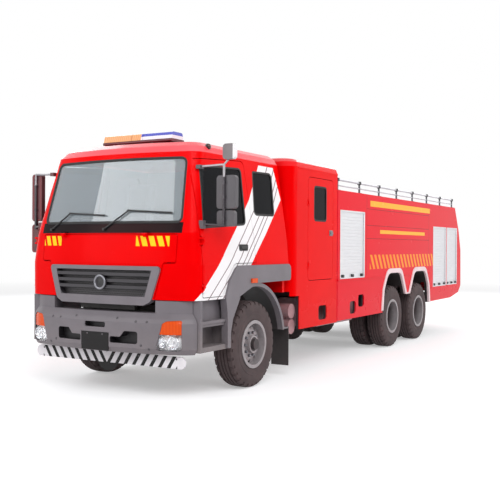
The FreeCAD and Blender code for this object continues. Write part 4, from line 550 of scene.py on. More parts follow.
@recipe
def side_lamps(finish):
    """Amber side and front indicators; the tail clusters are red with a clear foot and an amber top."""
    x, y, z = finish.axes()
    flutes = abs(((x + y * 0.5) % 0.018) - 0.009) * (1 / 0.018)
    amber = finish.mix(flutes * 1.6, (196, 52, 0), (240, 96, 8))
    red = finish.mix(flutes * 1.6, (136, 6, 10), (222, 24, 28))
    tail = finish.mix(z < 1.045, red, (226, 226, 230))
    tail = finish.mix(z > 1.180, tail, amber)
    colour = finish.mix(y > 4.0, amber, tail)
    return finish.surface(colour, 0.2, (flutes, 0.5, 0.002), specular_ior_level=0.2, coat_weight=0.05)


print("with lamps", len(FINISHES))


# %% Tyres and wheels
def middle_of(node):
    """Centre of a CAD part's box."""
    low, high = (Vector(corner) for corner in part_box(node))
    return (low + high) / 2


@recipe
def tyre_rubber(finish):
    fine = finish.noise(150.0, 3.0)
    dusty = finish.mix(finish.noise(6.0, 5.0, 0.6) * 0.8, (38, 30, 32), (92, 74, 74))
    return finish.surface(dusty, fine * 0.15 + 0.72, (fine, 0.4, 0.001))


@recipe
def wheel_lacquer(finish):
    """Dull silver wheels: dark hub, brighter nut circle, dusty dish and rim edge; painted shade darkens the
    deep inner dish.
    """
    x, y, z = finish.axes()
    front, middle, rear = (abs(y - middle_of(node).y)
                           for node in ("tyre_front_left", "tyres_middle_left", "tyres_rear_left"))
    dy = front.least(middle).least(rear)
    dz = z - middle_of("tyre_front_left").z
    far = dy * dy + dz * dz
    cloud = finish.noise(9.0, 5.0, 0.6)
    fine = finish.noise(120.0, 3.0)
    dish = finish.mix(cloud, (126, 118, 120), (176, 168, 170))
    edge = finish.mix(cloud, (128, 122, 124), (170, 164, 166))
    hub = finish.mix(cloud, (34, 28, 30), (76, 68, 70))
    colour = finish.mix(far > 0.216 ** 2, dish, edge)
    colour = finish.mix(far < 0.086 ** 2, colour, hub)
    # Painted shade: the deep inner dish is darkened the further in it lies from the wheel's outer face.
    deep = ((1.175 - abs(x)) * 9.0).held() * (y > 0.5) * (far > 0.12 ** 2)
    colour = finish.mix(deep, colour, finish.mix(cloud, (56, 48, 50), (84, 74, 76)))
    return finish.surface(colour, fine * 0.2 + cloud * 0.15 + 0.36, (fine, 0.18, 0.0008), metallic=0.25)


print("with wheels", len(FINISHES))


# %% Mirrors and railing
def mirror_parts(name, dark, light):
    """Dark mirror heads and feet on a plain steel tube; the kerb mirror's head carries a painted reflection and
    a painted highlight.
    """
    finish = Finish(name)
    x, y, z = finish.axes()
    tube_line = (y < FACE + 0.4005) * (z < 2.64) * (z > 1.90)
    arm = tube_line * (abs(x) > 1.235).most((abs(x) > 1.130) * (z > 2.5))
    fine = finish.noise(360.0, 2.0)
    cloud = finish.noise(5.0, 4.0)
    # Painted reflection: the kerb mirror's head is lighter grey for the sky it mirrors, and its outer end is a
    # near-white painted highlight.
    kerb_reflection = (z > 2.64) * (abs(x) > 1.40)
    head = finish.mix(kerb_reflection, finish.mix(cloud, dark, light), finish.mix(cloud, (82, 76, 79), (128, 120, 122)))
    head = finish.mix(kerb_reflection * (abs(x) > 1.545), head, (226, 224, 226))
    tube = finish.mix(z < 2.46, finish.mix(cloud, (122, 120, 124), (176, 174, 178)), (72, 69, 73))
    FINISHES[name] = finish.surface(finish.mix(arm, head, tube), fine * 0.1 + 0.4 - arm * 0.12,
                                    (fine, 0.2, 0.0006), metallic=arm * 0.7)


mirror_parts("mirror_parts", (50, 48, 52), (88, 84, 89))
mirror_parts("mirror_red", (72, 34, 38), (108, 58, 62))


@recipe
def railing(finish):
    """Grey tubes with black feet and clamps at every post."""
    x, y, z = finish.axes()
    first = FACE + 3.863
    pitch = (CAD_BOX[1][1] - 0.056 - 0.510 - first) / 7
    near = abs(((y - first + pitch / 2) % pitch) - pitch / 2)
    clamp = (near < 0.026) * (z > 2.674)
    foot = (near < 0.036) * (z < 2.549)
    post = (near < 0.0155) * (z < 2.69)
    outer = abs(x) > 1.1
    black = clamp.most(foot) * outer
    cloud = finish.noise(9.0, 4.0)
    steel = finish.mix(cloud, (168, 168, 174), (214, 214, 220))
    steel = finish.mix(post * outer, steel, (78, 78, 84))
    return finish.surface(finish.mix(black, steel, (22, 22, 26)), cloud * 0.1 + 0.3, (cloud, 0.1, 0.001),
                          metallic=0.45 - black * 0.45)


print("with railing", len(FINISHES))


# %% Sheets and cloth
@recipe
def grille_mesh(finish):
    """Dark pressed sheet with rows of small round holes."""
    x, y, z = finish.axes()
    pitch, hole = 0.024, 0.0087
    row = ((z / pitch) % 2.0 > 1.0) * (pitch / 2)
    hole_x = abs((x + row) % pitch - pitch / 2)
    hole_z = abs(z % pitch - pitch / 2)
    solid = (hole_x * hole_x + hole_z * hole_z) > hole ** 2
    colour = finish.mix(solid, (8, 8, 9), (66, 62, 66))
    return finish.surface(colour, 0.5, (solid, 0.5, 0.003))


@recipe
def arch_trim(finish):
    """Pale rim round the rear wheels, dull black trough behind it."""
    x, y, z = finish.axes()
    cloud = finish.noise(4.0, 5.0)
    fine = finish.noise(260.0, 2.0)
    trough = finish.mix(cloud, (20, 17, 18), (48, 40, 40))
    rim = finish.mix(cloud, (216, 190, 194), (240, 222, 224))
    return finish.surface(finish.mix(abs(x) > 1.229, trough, rim), fine * 0.15 + 0.5, (fine, 0.2, 0.0008))


@recipe
def tread_plate(finish):
    """Deck sheet with rows of raised lozenges that cross at right angles."""
    x, y, z = finish.axes()
    first = abs(((x + y) % 0.06) - 0.03) + abs(((x - y) % 0.03) - 0.015) * 2.6
    second = abs(((x - y + 0.03) % 0.06) - 0.03) + abs(((x + y + 0.015) % 0.03) - 0.015) * 2.6
    relief = ((0.034 - first) * 60).held().most(((0.034 - second) * 60).held())
    cloud = finish.noise(2.5, 5.0)
    colour = finish.mix(cloud, (150, 150, 153), (190, 190, 193))
    colour = finish.mix(relief * 0.5, colour, (222, 222, 226))
    return finish.surface(colour, cloud * 0.2 + 0.3, (relief, 0.4, 0.003), metallic=0.7)


@recipe
def seat_cloth(finish):
    weave = finish.noise(700.0, 2.0, 0.6, (1.0, 1.0, 0.5))
    colour = finish.mix(finish.noise(6.0, 3.0), (52, 52, 58), (78, 78, 86))
    colour = finish.mix(weave * 0.5, colour, (110, 110, 118))
    return finish.surface(colour, 0.85, (weave, 0.5, 0.001), sheen_weight=0.4)


print("all finishes", len(FINISHES))


# %% [markdown]
# ## Dress the CAD parts
# Every part of the frame keeps its shape and gets a finish by the start of its name. Flat steel and
# curved panels come in as loose triangles with their own normals, so nothing is smoothed here.

# %% Hand out the finishes
DRESSED = {
    "tyre_rubber": "tyre", "wheel_lacquer": "rim", "tank_paint": "side_tanks",
    "chassis_black": "chassis axles drive leaf engine knuckle body_floor",
    "red_paint": "cab_shell cab_door front_lid crew_shell crew_door body_sides body_ends",
    "windshield_glass": "windshield", "side_glass": "quarter_glass door_glass crew_glass",
    "grey_plastic": "cab_steps", "grille_plastic": "grille", "bumper_plastic": "bumper",
    "mudguard_plastic": "front_mudguards", "black_plastic": "wipers dashboard",
    "maroon_plastic": "light_bar", "light_lenses": "light_bar_lenses", "mirror_parts": "mirror_left",
    "mirror_red": "mirror_right", "lamp_clear": "headlamps", "side_lamps": "marker_lamps",
    "board_paint": "front_boards", "seat_cloth": "seats", "bellows_rubber": "cab_bellows",
    "tread_plate": "body_deck", "shutter_metal": "shutters", "arch_trim": "rear_mudguards",
    "railing": "roof_rails"}


def dress(piece, material):
    """Gives a mesh one material in every slot."""
    if not piece.data.materials:
        piece.data.materials.append(material)
    for index in range(len(piece.data.materials)):
        piece.data.materials[index] = material


undressed = set(nodes)
for finish_name, starts in DRESSED.items():
    for name in (name for name in nodes if name.startswith(tuple(starts.split()))):
        dress(nodes[name], FINISHES[finish_name])
        undressed.discard(name)
print("parts without a finish", sorted(undressed))


# %% [markdown]
# ## Modelling helpers
# New pieces are made the way a modeller works by hand: add a primitive, go into edit mode, pick
# faces, then extrude, inset or bevel them. In code the picking is a test on each face's place and
# normal. Each finished piece has its place in its mesh, rides on a body and takes a finish.

# %% Picking and finishing
def start(operator, name, **settings):
    """Adds a primitive with nothing else selected, and gives it its name."""
    bpy.ops.object.select_all(action="DESELECT")
    operator(**settings)
    piece = bpy.context.object
    piece.name = name
    piece.data.name = name
    return piece


def only(piece):
    """Selects one piece and no other, and makes it the active one."""
    bpy.ops.object.select_all(action="DESELECT")
    piece.select_set(True)
    bpy.context.view_layer.objects.active = piece


def edit(piece, element="FACE"):
    """Opens one piece in edit mode with none of its mesh selected."""
    only(piece)
    bpy.ops.object.mode_set(mode="EDIT")
    bpy.ops.mesh.select_mode(type=element)
    bpy.ops.mesh.select_all(action="DESELECT")


def pick(piece, test):
    """In edit mode, selects the faces whose middle and normal pass a test."""
    mesh = bmesh.from_edit_mesh(piece.data)
    bpy.ops.mesh.select_all(action="DESELECT")
    chosen = [face for face in mesh.faces if test(face.calc_center_median(), face.normal)]
    for face in chosen:
        face.select_set(True)
    bmesh.update_edit_mesh(piece.data)
    return len(chosen)


def close(piece, angle=35):
    """Leaves edit mode, merges doubles, turns normals outwards and smooths gentle edges."""
    if piece.mode != "EDIT":
        edit(piece)
    bpy.ops.mesh.select_all(action="SELECT")
    bpy.ops.mesh.remove_doubles(threshold=0.00005)
    bpy.ops.mesh.normals_make_consistent(inside=False)
    bpy.ops.object.mode_set(mode="OBJECT")
    only(piece)
    bpy.ops.object.transform_apply(location=True, rotation=True, scale=True)
    bpy.ops.object.shade_smooth_by_angle(angle=math.radians(angle))
    return piece


def modify(piece, kind, **settings):
    """Adds a modifier, sets it and applies it."""
    only(piece)
    modifier = piece.modifiers.new(kind.title(), kind)
    for key, value in settings.items():
        setattr(modifier, key, value)
    bpy.ops.object.modifier_apply(modifier=modifier.name)
    return piece


# %% Blocks, tubes and turned shapes
def block(name, low, high, bevel=0.004, segments=2):
    """A box between two corners with its edges rounded: the start of most small fittings."""
    middle = (Vector(low) + Vector(high)) / 2
    piece = start(bpy.ops.mesh.primitive_cube_add, name, size=1, location=middle)
    piece.scale = Vector(high) - Vector(low)
    bpy.ops.object.transform_apply(location=True, rotation=True, scale=True)
    return modify(piece, "BEVEL", width=bevel, segments=segments, limit_method="NONE")


def side_block(name, side, x, lengths, heights, bevel=0.004, segments=2):
    """A block on one side of the truck, between two values of X given outwards from the middle."""
    near, far = sorted(side * value for value in x)
    return block(name, (near, lengths[0], heights[0]), (far, lengths[1], heights[1]), bevel, segments)


def tube(name, points, radius, closed=False, sides=3):
    """Round bar or rubber strip along points, made as a curve with a bevel and turned into a mesh."""
    curve = bpy.data.curves.new(name, "CURVE")
    curve.dimensions = "3D"
    curve.bevel_depth = radius
    curve.bevel_resolution = sides
    curve.use_fill_caps = not closed
    spline = curve.splines.new("POLY")
    spline.points.add(len(points) - 1)
    for knot, point in zip(spline.points, points):
        knot.co = (*point, 1.0)
    spline.use_cyclic_u = closed
    piece = bpy.data.objects.new(name, curve)
    bpy.context.scene.collection.objects.link(piece)
    only(piece)
    bpy.ops.object.convert(target="MESH")
    return close(bpy.context.object)


def turned(name, centre, axis, outline, steps=48, closed=False):
    """A shape spun about an axis through centre. outline lists (along the axis, radius) points."""
    axis = Vector(axis).normalized()
    side = axis.orthogonal().normalized()
    piece = start(bpy.ops.mesh.primitive_circle_add, name, vertices=len(outline), radius=1,
                  fill_type="NOTHING")
    for vertex, (along, radius) in zip(piece.data.vertices, outline):
        vertex.co = Vector(centre) + axis * along + side * radius
    edit(piece, "VERT")
    if not closed:
        mesh = bmesh.from_edit_mesh(piece.data)
        ends = {0, len(outline) - 1}
        loose = [edge for edge in mesh.edges if {v.index for v in edge.verts} == ends]
        bmesh.ops.delete(mesh, geom=loose, context="EDGES")
        bmesh.update_edit_mesh(piece.data)
    bpy.ops.mesh.select_all(action="SELECT")
    bpy.ops.mesh.spin(steps=steps, angle=math.tau, center=centre, axis=axis, use_auto_merge=True)
    return close(piece)


def rounded(width, height, radius, steps):
    """Points round a rectangle with rounded corners about the origin, so many to a corner."""
    corners = ((1, 1), (-1, 1), (-1, -1), (1, -1))
    points = []
    for quarter, (u, v) in enumerate(corners):
        for step in range(steps):
            turn = math.radians(90 * quarter + 90 * step / (steps - 1))
            points.append((u * (width / 2 - radius) + radius * math.cos(turn),
                           v * (height / 2 - radius) + radius * math.sin(turn)))
    return points


# %% Copies, joins and fitting
def own_copy(piece, name, matrix=None):
    """The same piece under another name, with its own mesh, moved by a matrix if one is given."""
    copy = piece.copy()
    copy.data = piece.data.copy()
    copy.name = name
    bpy.context.scene.collection.objects.link(copy)
    if matrix:
        copy.data.transform(matrix)
    return copy


def twin(piece, name):
    """The same piece on the truck's other side."""
    copy = own_copy(piece, name)
    for vertex in copy.data.vertices:
        vertex.co.x = -vertex.co.x
    copy.data.flip_normals()
    copy.data.update()
    return copy


def skin(node, name, outward):
    """The faces of a CAD part that pass a test on place and normal, as a new piece in edit mode."""
    piece = own_copy(nodes[node], name)
    piece.parent = None
    piece.matrix_world = Matrix.Identity(4)
    edit(piece)
    bpy.ops.mesh.select_all(action="SELECT")
    bpy.ops.mesh.remove_doubles(threshold=0.0002)
    pick(piece, lambda place, normal: not outward(place, normal))
    bpy.ops.mesh.delete(type="FACE")
    return piece


def joined(name, pieces):
    """Several meshes as one piece."""
    bpy.ops.object.select_all(action="DESELECT")
    for piece in pieces:
        piece.select_set(True)
    bpy.context.view_layer.objects.active = pieces[0]
    bpy.ops.object.join()
    pieces[0].name = name
    pieces[0].data.name = name
    return pieces[0]


def fit(piece, body, finish):
    """Sets the finish and says which body carries the piece."""
    dress(piece, FINISHES[finish])
    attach(piece, body)
    return piece


print("helpers ready")


# %% [markdown]
# ## Tyres
# A truck tyre has a flat tread with deep grooves round it, notched shoulders that grip soft ground,
# and a bulging wall with fine ridges. The section is drawn once as a list of points and spun round
# the axle. The shoulder notches are picked faces pushed inwards, and the ridges are part of the section.

# %% One tyre
TYRE_LOW, TYRE_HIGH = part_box("tyre_front_left")
TYRE_R = TYRE_HIGH[2] / 2
TYRE_HALF = (TYRE_HIGH[0] - TYRE_LOW[0]) / 2
BEAD_R = 0.262
half_section = [
    (0.104, BEAD_R), (0.117, 0.268), (0.128, 0.285), (0.132, 0.300), (0.136, 0.303), (0.138, 0.330),
    (TYRE_HALF, 0.365), (TYRE_HALF, 0.372), (TYRE_HALF - 0.003, 0.375), (TYRE_HALF - 0.001, 0.425),
    (TYRE_HALF - 0.006, 0.452), (TYRE_HALF - 0.008, 0.456), (0.129, 0.478), (0.124, 0.496), (0.119, 0.508),
    (0.100, TYRE_R - 0.006), (0.078, TYRE_R - 0.002), (0.074, TYRE_R - 0.016), (0.064, TYRE_R - 0.016),
    (0.060, TYRE_R - 0.001), (0.030, TYRE_R), (0.026, TYRE_R - 0.015), (0.016, TYRE_R - 0.015),
    (0.012, TYRE_R)]
tyre_section = half_section + [(-along, radius) for along, radius in reversed(half_section)]
tyre_section += [(-0.095, 0.275), (-0.120, 0.350), (-0.110, 0.470),
                 (0.110, 0.470), (0.120, 0.350), (0.095, 0.275)]


def tyre(name, centre, sectors=90):
    """Whole tyre: the section spun, then every third shoulder sector pushed in as a notch."""
    piece = turned(name, centre, (1, 0, 0), tyre_section, sectors, closed=True)
    edit(piece)

    def shoulder(place, normal):
        offset = place - centre
        sector = int((math.atan2(offset.z, offset.y) + math.pi) / (math.tau / sectors))
        radius = math.hypot(offset.y, offset.z)
        return 0.079 < abs(offset.x) < 0.1325 and radius > 0.480 and sector % 3 == 0

    chosen = pick(piece, shoulder)
    bpy.ops.mesh.inset(thickness=0.0015, depth=-0.010, use_boundary=True)
    return close(piece, 30), chosen


front_centre = middle_of("tyre_front_left")
model_tyre, notches = tyre("tyre_tread_front_left", front_centre)
print("tyre faces", len(model_tyre.data.polygons), "notched", notches)

# %% Place the tyres on their axles
for wheel, side, plural in WHEELS:
    node = "tyre" + plural + "_" + wheel
    low, high = (Vector(corner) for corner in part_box(node))
    middle = middle_of(node)
    places = [low.x + TYRE_HALF, high.x - TYRE_HALF] if plural else [middle.x]
    for letter, x in zip("ab", places):
        shift = Matrix.Translation(Vector((x, middle.y, middle.z)) - front_centre)
        piece = own_copy(model_tyre, "tread_" + wheel + "_" + letter, shift)
        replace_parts(fit(piece, "wheel_" + wheel, "tyre_rubber"), node)
bpy.data.objects.remove(model_tyre)


# %% [markdown]
# ## Window rubbers
# Each pane sits in a black rubber that laps over the glass and the paint. Its line is already in the
# CAD pane: a copy of the pane keeps only its outer face, the face is inset once, and what is left of
# the rim gets a thickness outwards. One helper makes all of them, so they follow the curved panels.

# %% Rubbers from the panes
RUBBER_THICK = 0.011


def rubber(node, name, outward, width, body):
    """Rim of a pane's outer faces, raised off it. outward(place, normal) says which these are."""
    piece = skin(node, name, outward)
    bpy.ops.mesh.select_all(action="SELECT")
    bpy.ops.mesh.inset(thickness=width, use_boundary=True)
    bpy.ops.mesh.delete(type="FACE")
    bpy.ops.object.mode_set(mode="OBJECT")
    modify(piece, "SOLIDIFY", thickness=RUBBER_THICK, offset=1.0)
    modify(piece, "BEVEL", width=RUBBER_THICK * 0.3, segments=2, limit_method="ANGLE", angle_limit=0.8)
    fit(piece, body, "bellows_rubber")
    print(name, len(piece.data.polygons), "faces")


rubber("windshield", "windshield_rubber", lambda place, normal: normal.y < -0.35, 0.030, "root")
for place_word, width, body in (("door", 0.022, "door_"), ("crew", 0.024, "crew_entry_")):
    for side, word in SIDES:
        rubber(place_word + "_glass_" + word, place_word + "_rubber_" + word,
               lambda place, normal: normal.x * side > 0.5, width, body + word)
rubber("quarter_glass", "quarter_rubbers", lambda place, normal: normal.x * place.x > 0.45, 0.026, "root")


# %% [markdown]
# ## Headlamps
# A headlamp is a clear cover, a bright tray behind it and a deep mirrored bowl for each bulb. The
# cover follows the bumper's curve, so it starts as the outer faces of the CAD lamp. The bowls are a
# short curve spun round the line of sight. The cover lets most light straight in on the bowls.

# %% Lamp cover and tray
def touch(name, origin, direction):
    """Where a straight line from origin first meets a part, and the skin's normal there."""
    hit, place, normal, face = bpy.data.objects[name].ray_cast(Vector(origin), Vector(direction))
    if not hit:
        raise RuntimeError("nothing of " + name + " on the line from " + str(tuple(origin)))
    return place, normal


def touch_front(name, x, z):
    """Where a line from in front of the truck first meets a part."""
    return touch(name, (x, NOSE - 0.5, z), (0, 1, 0))


def lamp_sheet(name, back, thick):
    """Sheet made from the outer faces of the CAD lamp, moved back and given a thickness."""
    piece = skin("headlamps", name, lambda place, normal: normal.y < -0.3)
    bpy.ops.object.mode_set(mode="OBJECT")
    piece.data.transform(Matrix.Translation((0, back, 0)))
    return modify(piece, "SOLIDIFY", thickness=thick, offset=-1.0)


covers, trays = lamp_sheet("lamp_covers", 0.001, 0.004), lamp_sheet("lamp_trays", 0.055, 0.003)
for piece, finish in ((covers, "lamp_clear"), (trays, "reflector")):
    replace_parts(fit(piece, "root", finish), "headlamps")
print("lamp cover faces", len(covers.data.polygons))

# %% Lamp bowls and bulbs
bowl_outline = [(0.050, 0.0), (0.049, 0.016), (0.040, 0.036), (0.026, 0.052), (0.006, 0.0655), (0.0, 0.068),
                (-0.002, 0.0715), (0.000, 0.0735), (0.008, 0.071), (0.046, 0.045), (0.054, 0.018), (0.055, 0.0)]
bulb_outline = [(-0.012, 0.0), (-0.010, 0.006), (-0.004, 0.009), (0.012, 0.009), (0.018, 0.006),
                (0.035, 0.006), (0.036, 0.0)]
bowls, bulbs = [], []
for x, scale in ((0.984, 1.0), (0.868, 0.78)):
    place, normal = touch_front("lamp_covers", x, 0.650)
    centre = place + Vector((0, 0.016, 0))
    outline = [(along * scale, radius * scale) for along, radius in bowl_outline]
    bowls.append(turned("bowl", centre, (0, 1, 0), outline, 40))
    bulbs.append(turned("bulb", centre + Vector((0, 0.012, 0)), (0, 1, 0), bulb_outline, 20))
for name, pieces, finish in (("lamp_bowls_", bowls, "chrome"), ("lamp_bulbs_", bulbs, "pale_plastic")):
    left = joined(name + "left", pieces)
    for piece in (left, twin(left, name + "right")):
        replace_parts(fit(piece, "root", finish), "headlamps")
    print(name, len(left.data.polygons), "faces a side")


# %% [markdown]
# ## Bolts and small caps
# Bumpers, boards and plates are held by domed bolts. A single profile is spun once a bolt, on the
# point where a straight line meets the CAD skin, and all the bolts of one panel are joined.

# %% Bolts of bumper, board and plate
def bolt(place, normal, radius=0.011, height=0.007):
    """Domed bolt head on a washer, standing on a point of the skin."""
    outline = [(-0.003, 0.0), (-0.003, radius * 1.35), (0.0015, radius * 1.35), (0.0018, radius),
               (height * 0.6, radius * 0.92), (height, radius * 0.5), (height, 0.0)]
    return turned("bolt", place, normal, outline, 16)


bumper_spots = ((0.553, 0.872), (0.690, 0.872), (0.624, 0.614), (0.30, 0.900), (0.72, 0.575))
bumper_bolts = [bolt(*touch_front("bumper", x * side, z)) for x, z in bumper_spots for side in (-1, 1)]
plate_bolts = [bolt(*touch_front("front_boards", x, 0.712), 0.008, 0.0024) for x in (0.11, -0.11)]
plate_bolts += [bolt(*touch_front("front_boards", x, 0.47), 0.008, 0.005) for x in (-0.98, -0.46, 0.46, 0.98)]
for name, bolts in (("bumper_bolts", bumper_bolts), ("plate_bolts", plate_bolts)):
    fit(joined(name, bolts), "root", "bolt_steel")
print("bolts", len(bumper_bolts) + len(plate_bolts))


# %% [markdown]
# ## Grille mesh and ring
# Behind the slats hangs a dark pressed sheet that keeps stones off the radiator. It starts as a flat
# grid, narrows downwards with the grille and bends back towards both sides as the cab does. A plain
# round ring, a closed section spun about the truck's centre line, sits in the middle of the slats.

# %% Mesh sheet
mesh_sheet = start(bpy.ops.mesh.primitive_grid_add, "grille_mesh_sheet", x_subdivisions=32,
                   y_subdivisions=4, size=2)
for vertex in mesh_sheet.data.vertices:
    across, up = vertex.co.x, vertex.co.y
    x = across * (0.700 + 0.060 * up)
    vertex.co = (x, FACE + 0.050 + 0.085 * x * x, 1.262 + 0.165 * up)
modify(mesh_sheet, "SOLIDIFY", thickness=0.003)
fit(close(mesh_sheet), "lid", "grille_mesh")
print("mesh sheet faces", len(mesh_sheet.data.polygons))

# %% Ring and its dish
RING_Z = 1.290
ring_outline = [(0.010 * math.cos(turn), 0.074 + 0.013 * math.sin(turn))
                for turn in (math.tau * step / 14 for step in range(14))]
dish_outline = [(0.0, 0.0), (0.0, 0.062), (0.006, 0.062), (0.004, 0.040), (0.008, 0.018), (0.009, 0.0)]
ring = turned("grille_ring", (0, FACE - 0.018, RING_Z), (0, 1, 0), ring_outline, 64, closed=True)
dish = turned("grille_dish", (0, FACE - 0.006, RING_Z), (0, -1, 0), dish_outline, 48)
fit(ring, "lid", "dull_chrome")
fit(dish, "lid", "black_plastic")
print("ring faces", len(ring.data.polygons))


# %% [markdown]
# ## Handles and latches
# A cab door is opened by a paddle in a dark recess, the crew door by a bright lever on a plate. Each
# is a small box whose top faces are inset and pushed in, so that the rim catches the light. Both are
# set against the door's skin at the height where a hand reaches them.

# %% Door furniture
def door_skin(node, side, along, z):
    """How far out from the middle a door's skin is at a place, and that place."""
    skin_place, normal = touch(node, (side * 2, FACE + along, z), (-side, 0, 0))
    return abs(skin_place.x), skin_place


def pocket_plate(name, side, x, lengths, heights, depth):
    """Rounded plate on a door's skin with a recess in its outer face."""
    piece = side_block(name, side, x, lengths, heights, 0.010, 3)
    edit(piece)
    pick(piece, lambda place, normal: normal.x * side > 0.9 and abs(place.x * side - x[1]) < 0.001)
    bpy.ops.mesh.inset(thickness=0.008, depth=0.0)
    bpy.ops.mesh.inset(thickness=0.004, depth=-depth)
    return close(piece)


for side, word in SIDES:
    out, spot = door_skin("cab_door_" + word, side, 1.11, 1.69)
    plate = pocket_plate("handle_plate", side, (out - 0.006, out + 0.016), (FACE + 1.02, FACE + 1.205),
                         (1.652, 1.728), 0.010)
    paddle = side_block("paddle", side, (out + 0.004, out + 0.026), (FACE + 1.032, FACE + 1.168),
                        (1.676, 1.708), 0.007, 3)
    lock = turned("lock", Vector((spot.x + side * 0.008, FACE + 1.187, 1.690)), (side, 0, 0),
                  [(0, 0), (0, 0.010), (0.011, 0.010), (0.012, 0.008), (0.012, 0)], 20)
    fit(joined("cab_handle_" + word, [plate, paddle, lock]), "door_" + word, "black_plastic")
print("cab handles on")

# %% Crew door levers
for side, word in SIDES:
    out, spot = door_skin("crew_door_" + word, side, 3.52, 1.90)
    plate = pocket_plate("lever_plate", side, (out - 0.004, out + 0.010), (FACE + 3.470, FACE + 3.572),
                         (1.860, 1.940), 0.004)
    lever = side_block("lever", side, (out + 0.014, out + 0.026), (FACE + 3.480, FACE + 3.562),
                       (1.890, 1.910), 0.005, 3)
    boss = turned("boss", Vector((spot.x, FACE + 3.546, 1.900)), (side, 0, 0),
                  [(0, 0), (0, 0.020), (0.013, 0.018), (0.016, 0.012), (0.016, 0)], 24)
    fit(joined("crew_lever_" + word, [plate, lever, boss]), "crew_entry_" + word, "dull_chrome")
print("crew levers on")


# %% [markdown]
# ## Mirror glasses
# Each mirror head is a dark housing with a flat glass let into its back. The glass is a thin block
# with rounded corners, and on the right side a dark red rim runs round the housing's front.

# %% Glasses and rims
MIRROR_BACK = FACE + 0.461
MIRROR_FRONT = FACE + 0.4025
mirror_panes = {
    "left": [(1.423, 0.198, 2.140, 2.456), (1.417, 0.180, 1.943, 2.072)],
    "right": [(-1.405, 0.125, 2.030, 2.575), (-1.427, 0.086, 1.632, 1.943)]}
for word, panes in mirror_panes.items():
    glasses = [block("pane", (x - width / 2, MIRROR_BACK - 0.001, low),
                     (x + width / 2, MIRROR_BACK + 0.003, high), 0.0015, 1) for x, width, low, high in panes]
    fit(joined("mirror_panes_" + word, glasses), "door_" + word, "mirror_glass")
rims = [tube("rim", [(x + u, MIRROR_FRONT, (low + high) / 2 + v)
                     for u, v in rounded(width, high - low, 0.03, 5)], 0.006, closed=True)
        for x, low, high, width in ((-1.405, 2.022, 2.583, 0.132), (-1.427, 1.622, 1.953, 0.096))]
fit(joined("mirror_rims_right", rims), "door_right", "mirror_rim")
print("mirror panes", sum(len(panes) for panes in mirror_panes.values()))


# %% [markdown]
# ## Shutter frames and latches
# A roller shutter slides in a thin aluminium frame and is held by small black latches at its foot.
# The frame is four thin strips round the opening, the latches are bevelled blocks in a row.

# %% Frames round the shutters
BODY_SIDE = 1.250
bays = [(FACE + 3.856, FACE + 4.773, 1.240, 2.240), (FACE + 8.285, FACE + 9.112, 0.950, 2.100),
        (FACE + 9.182, FACE + 9.880, 0.950, 2.100)]


def shutter_frame(side, front, back, low, high):
    """Four thin strips round one shutter, standing a little proud of the body's side."""
    lip, inner, foot = 0.012, 0.014, 0.010
    strips = [((front - lip, front + inner), (low - lip, high + lip)),
              ((back - inner, back + lip), (low - lip, high + lip)),
              ((front, back), (high - inner, high + lip)),
              ((front, back), (low - lip, low + foot))]
    return [side_block("strip", side, (BODY_SIDE - 0.012, BODY_SIDE + 0.005), lengths, heights, 0.0025)
            for lengths, heights in strips]


def shutter_latches(side, front, back, low, high):
    """Three black latches along the foot of one shutter."""
    places = [front + (back - front) * share for share in (0.10, 0.50, 0.90)]
    return [side_block("latch", side, (BODY_SIDE - 0.016, BODY_SIDE + 0.014), (y - 0.035, y + 0.035),
                       (low + 0.008, low + 0.052), 0.008) for y in places]


for side, word in SIDES:
    for name, make, finish in (("shutter_frames_", shutter_frame, "shutter_metal"),
                               ("shutter_latches_", shutter_latches, "black_plastic")):
        pieces = [piece for bay in bays for piece in make(side, *bay)]
        fit(joined(name + word, pieces), "root", finish)
print("frames and latches fitted")


# %% [markdown]
# ## Lamps on the roof and the tail
# Small round marker lamps stand on the corners of the cab's roof, and round red reflectors sit low
# on the tail. Each is a dome on a dark bezel, both spun round the line that stands on the skin.

# %% Roof markers and reflectors
def round_lamps(name, finish, places, radius, height):
    """Dark bezels and domed lenses, each kind as one piece, on places with their normals."""
    bezel = [(-0.004, 0), (-0.004, radius), (height * 0.45, radius), (height * 0.5, radius * 0.85),
             (height * 0.5, 0)]
    dome = [(height * 0.45, 0), (height * 0.45, radius * 0.84), (height * 0.8, radius * 0.66),
            (height, radius * 0.3), (height + 0.002, 0)]
    for kind, outline, look, slot in (("_bezels", bezel, "black_plastic", "black_plastic"),
                                      ("_domes", dome, finish, "lamp_amber")):
        pieces = [turned(kind, place, normal, outline, 32) for place, normal in places]
        fit(joined(name + kind, pieces), "root", look)
    print(name, len(places))


round_lamps("roof_marker", "dark_lens",
            [touch("cab_shell", (x, FACE + 0.66, 4.0), (0, 0, -1)) for x in (-1.01, 1.01)], 0.036, 0.040)
round_lamps("reflector", "side_lamps",
            [touch("body_ends", (x, 9.0, 0.85), (0, -1, 0)) for x in (-1.04, 1.04)], 0.040, 0.016)


# %% [markdown]
# ## Seats
# Two seats stand in the cab and three in the crew cabin, each a padded cushion and backrest on a
# pressed base. Foam swells against its cover, so a cushion starts as a slightly small rounded block, is
# remeshed finely and blown up as cloth with no gravity. How far a point may move is capped. Piping,
# which a remesh would swallow, is added afterwards as a tube round the edge.

# %% Blow up one pad
PAD_SWELL = 0.022
PAD_FRAMES = 20
CHANNEL_X, CHANNEL_WIDTH, CHANNEL_DEPTH = 0.135, 0.007, 0.007


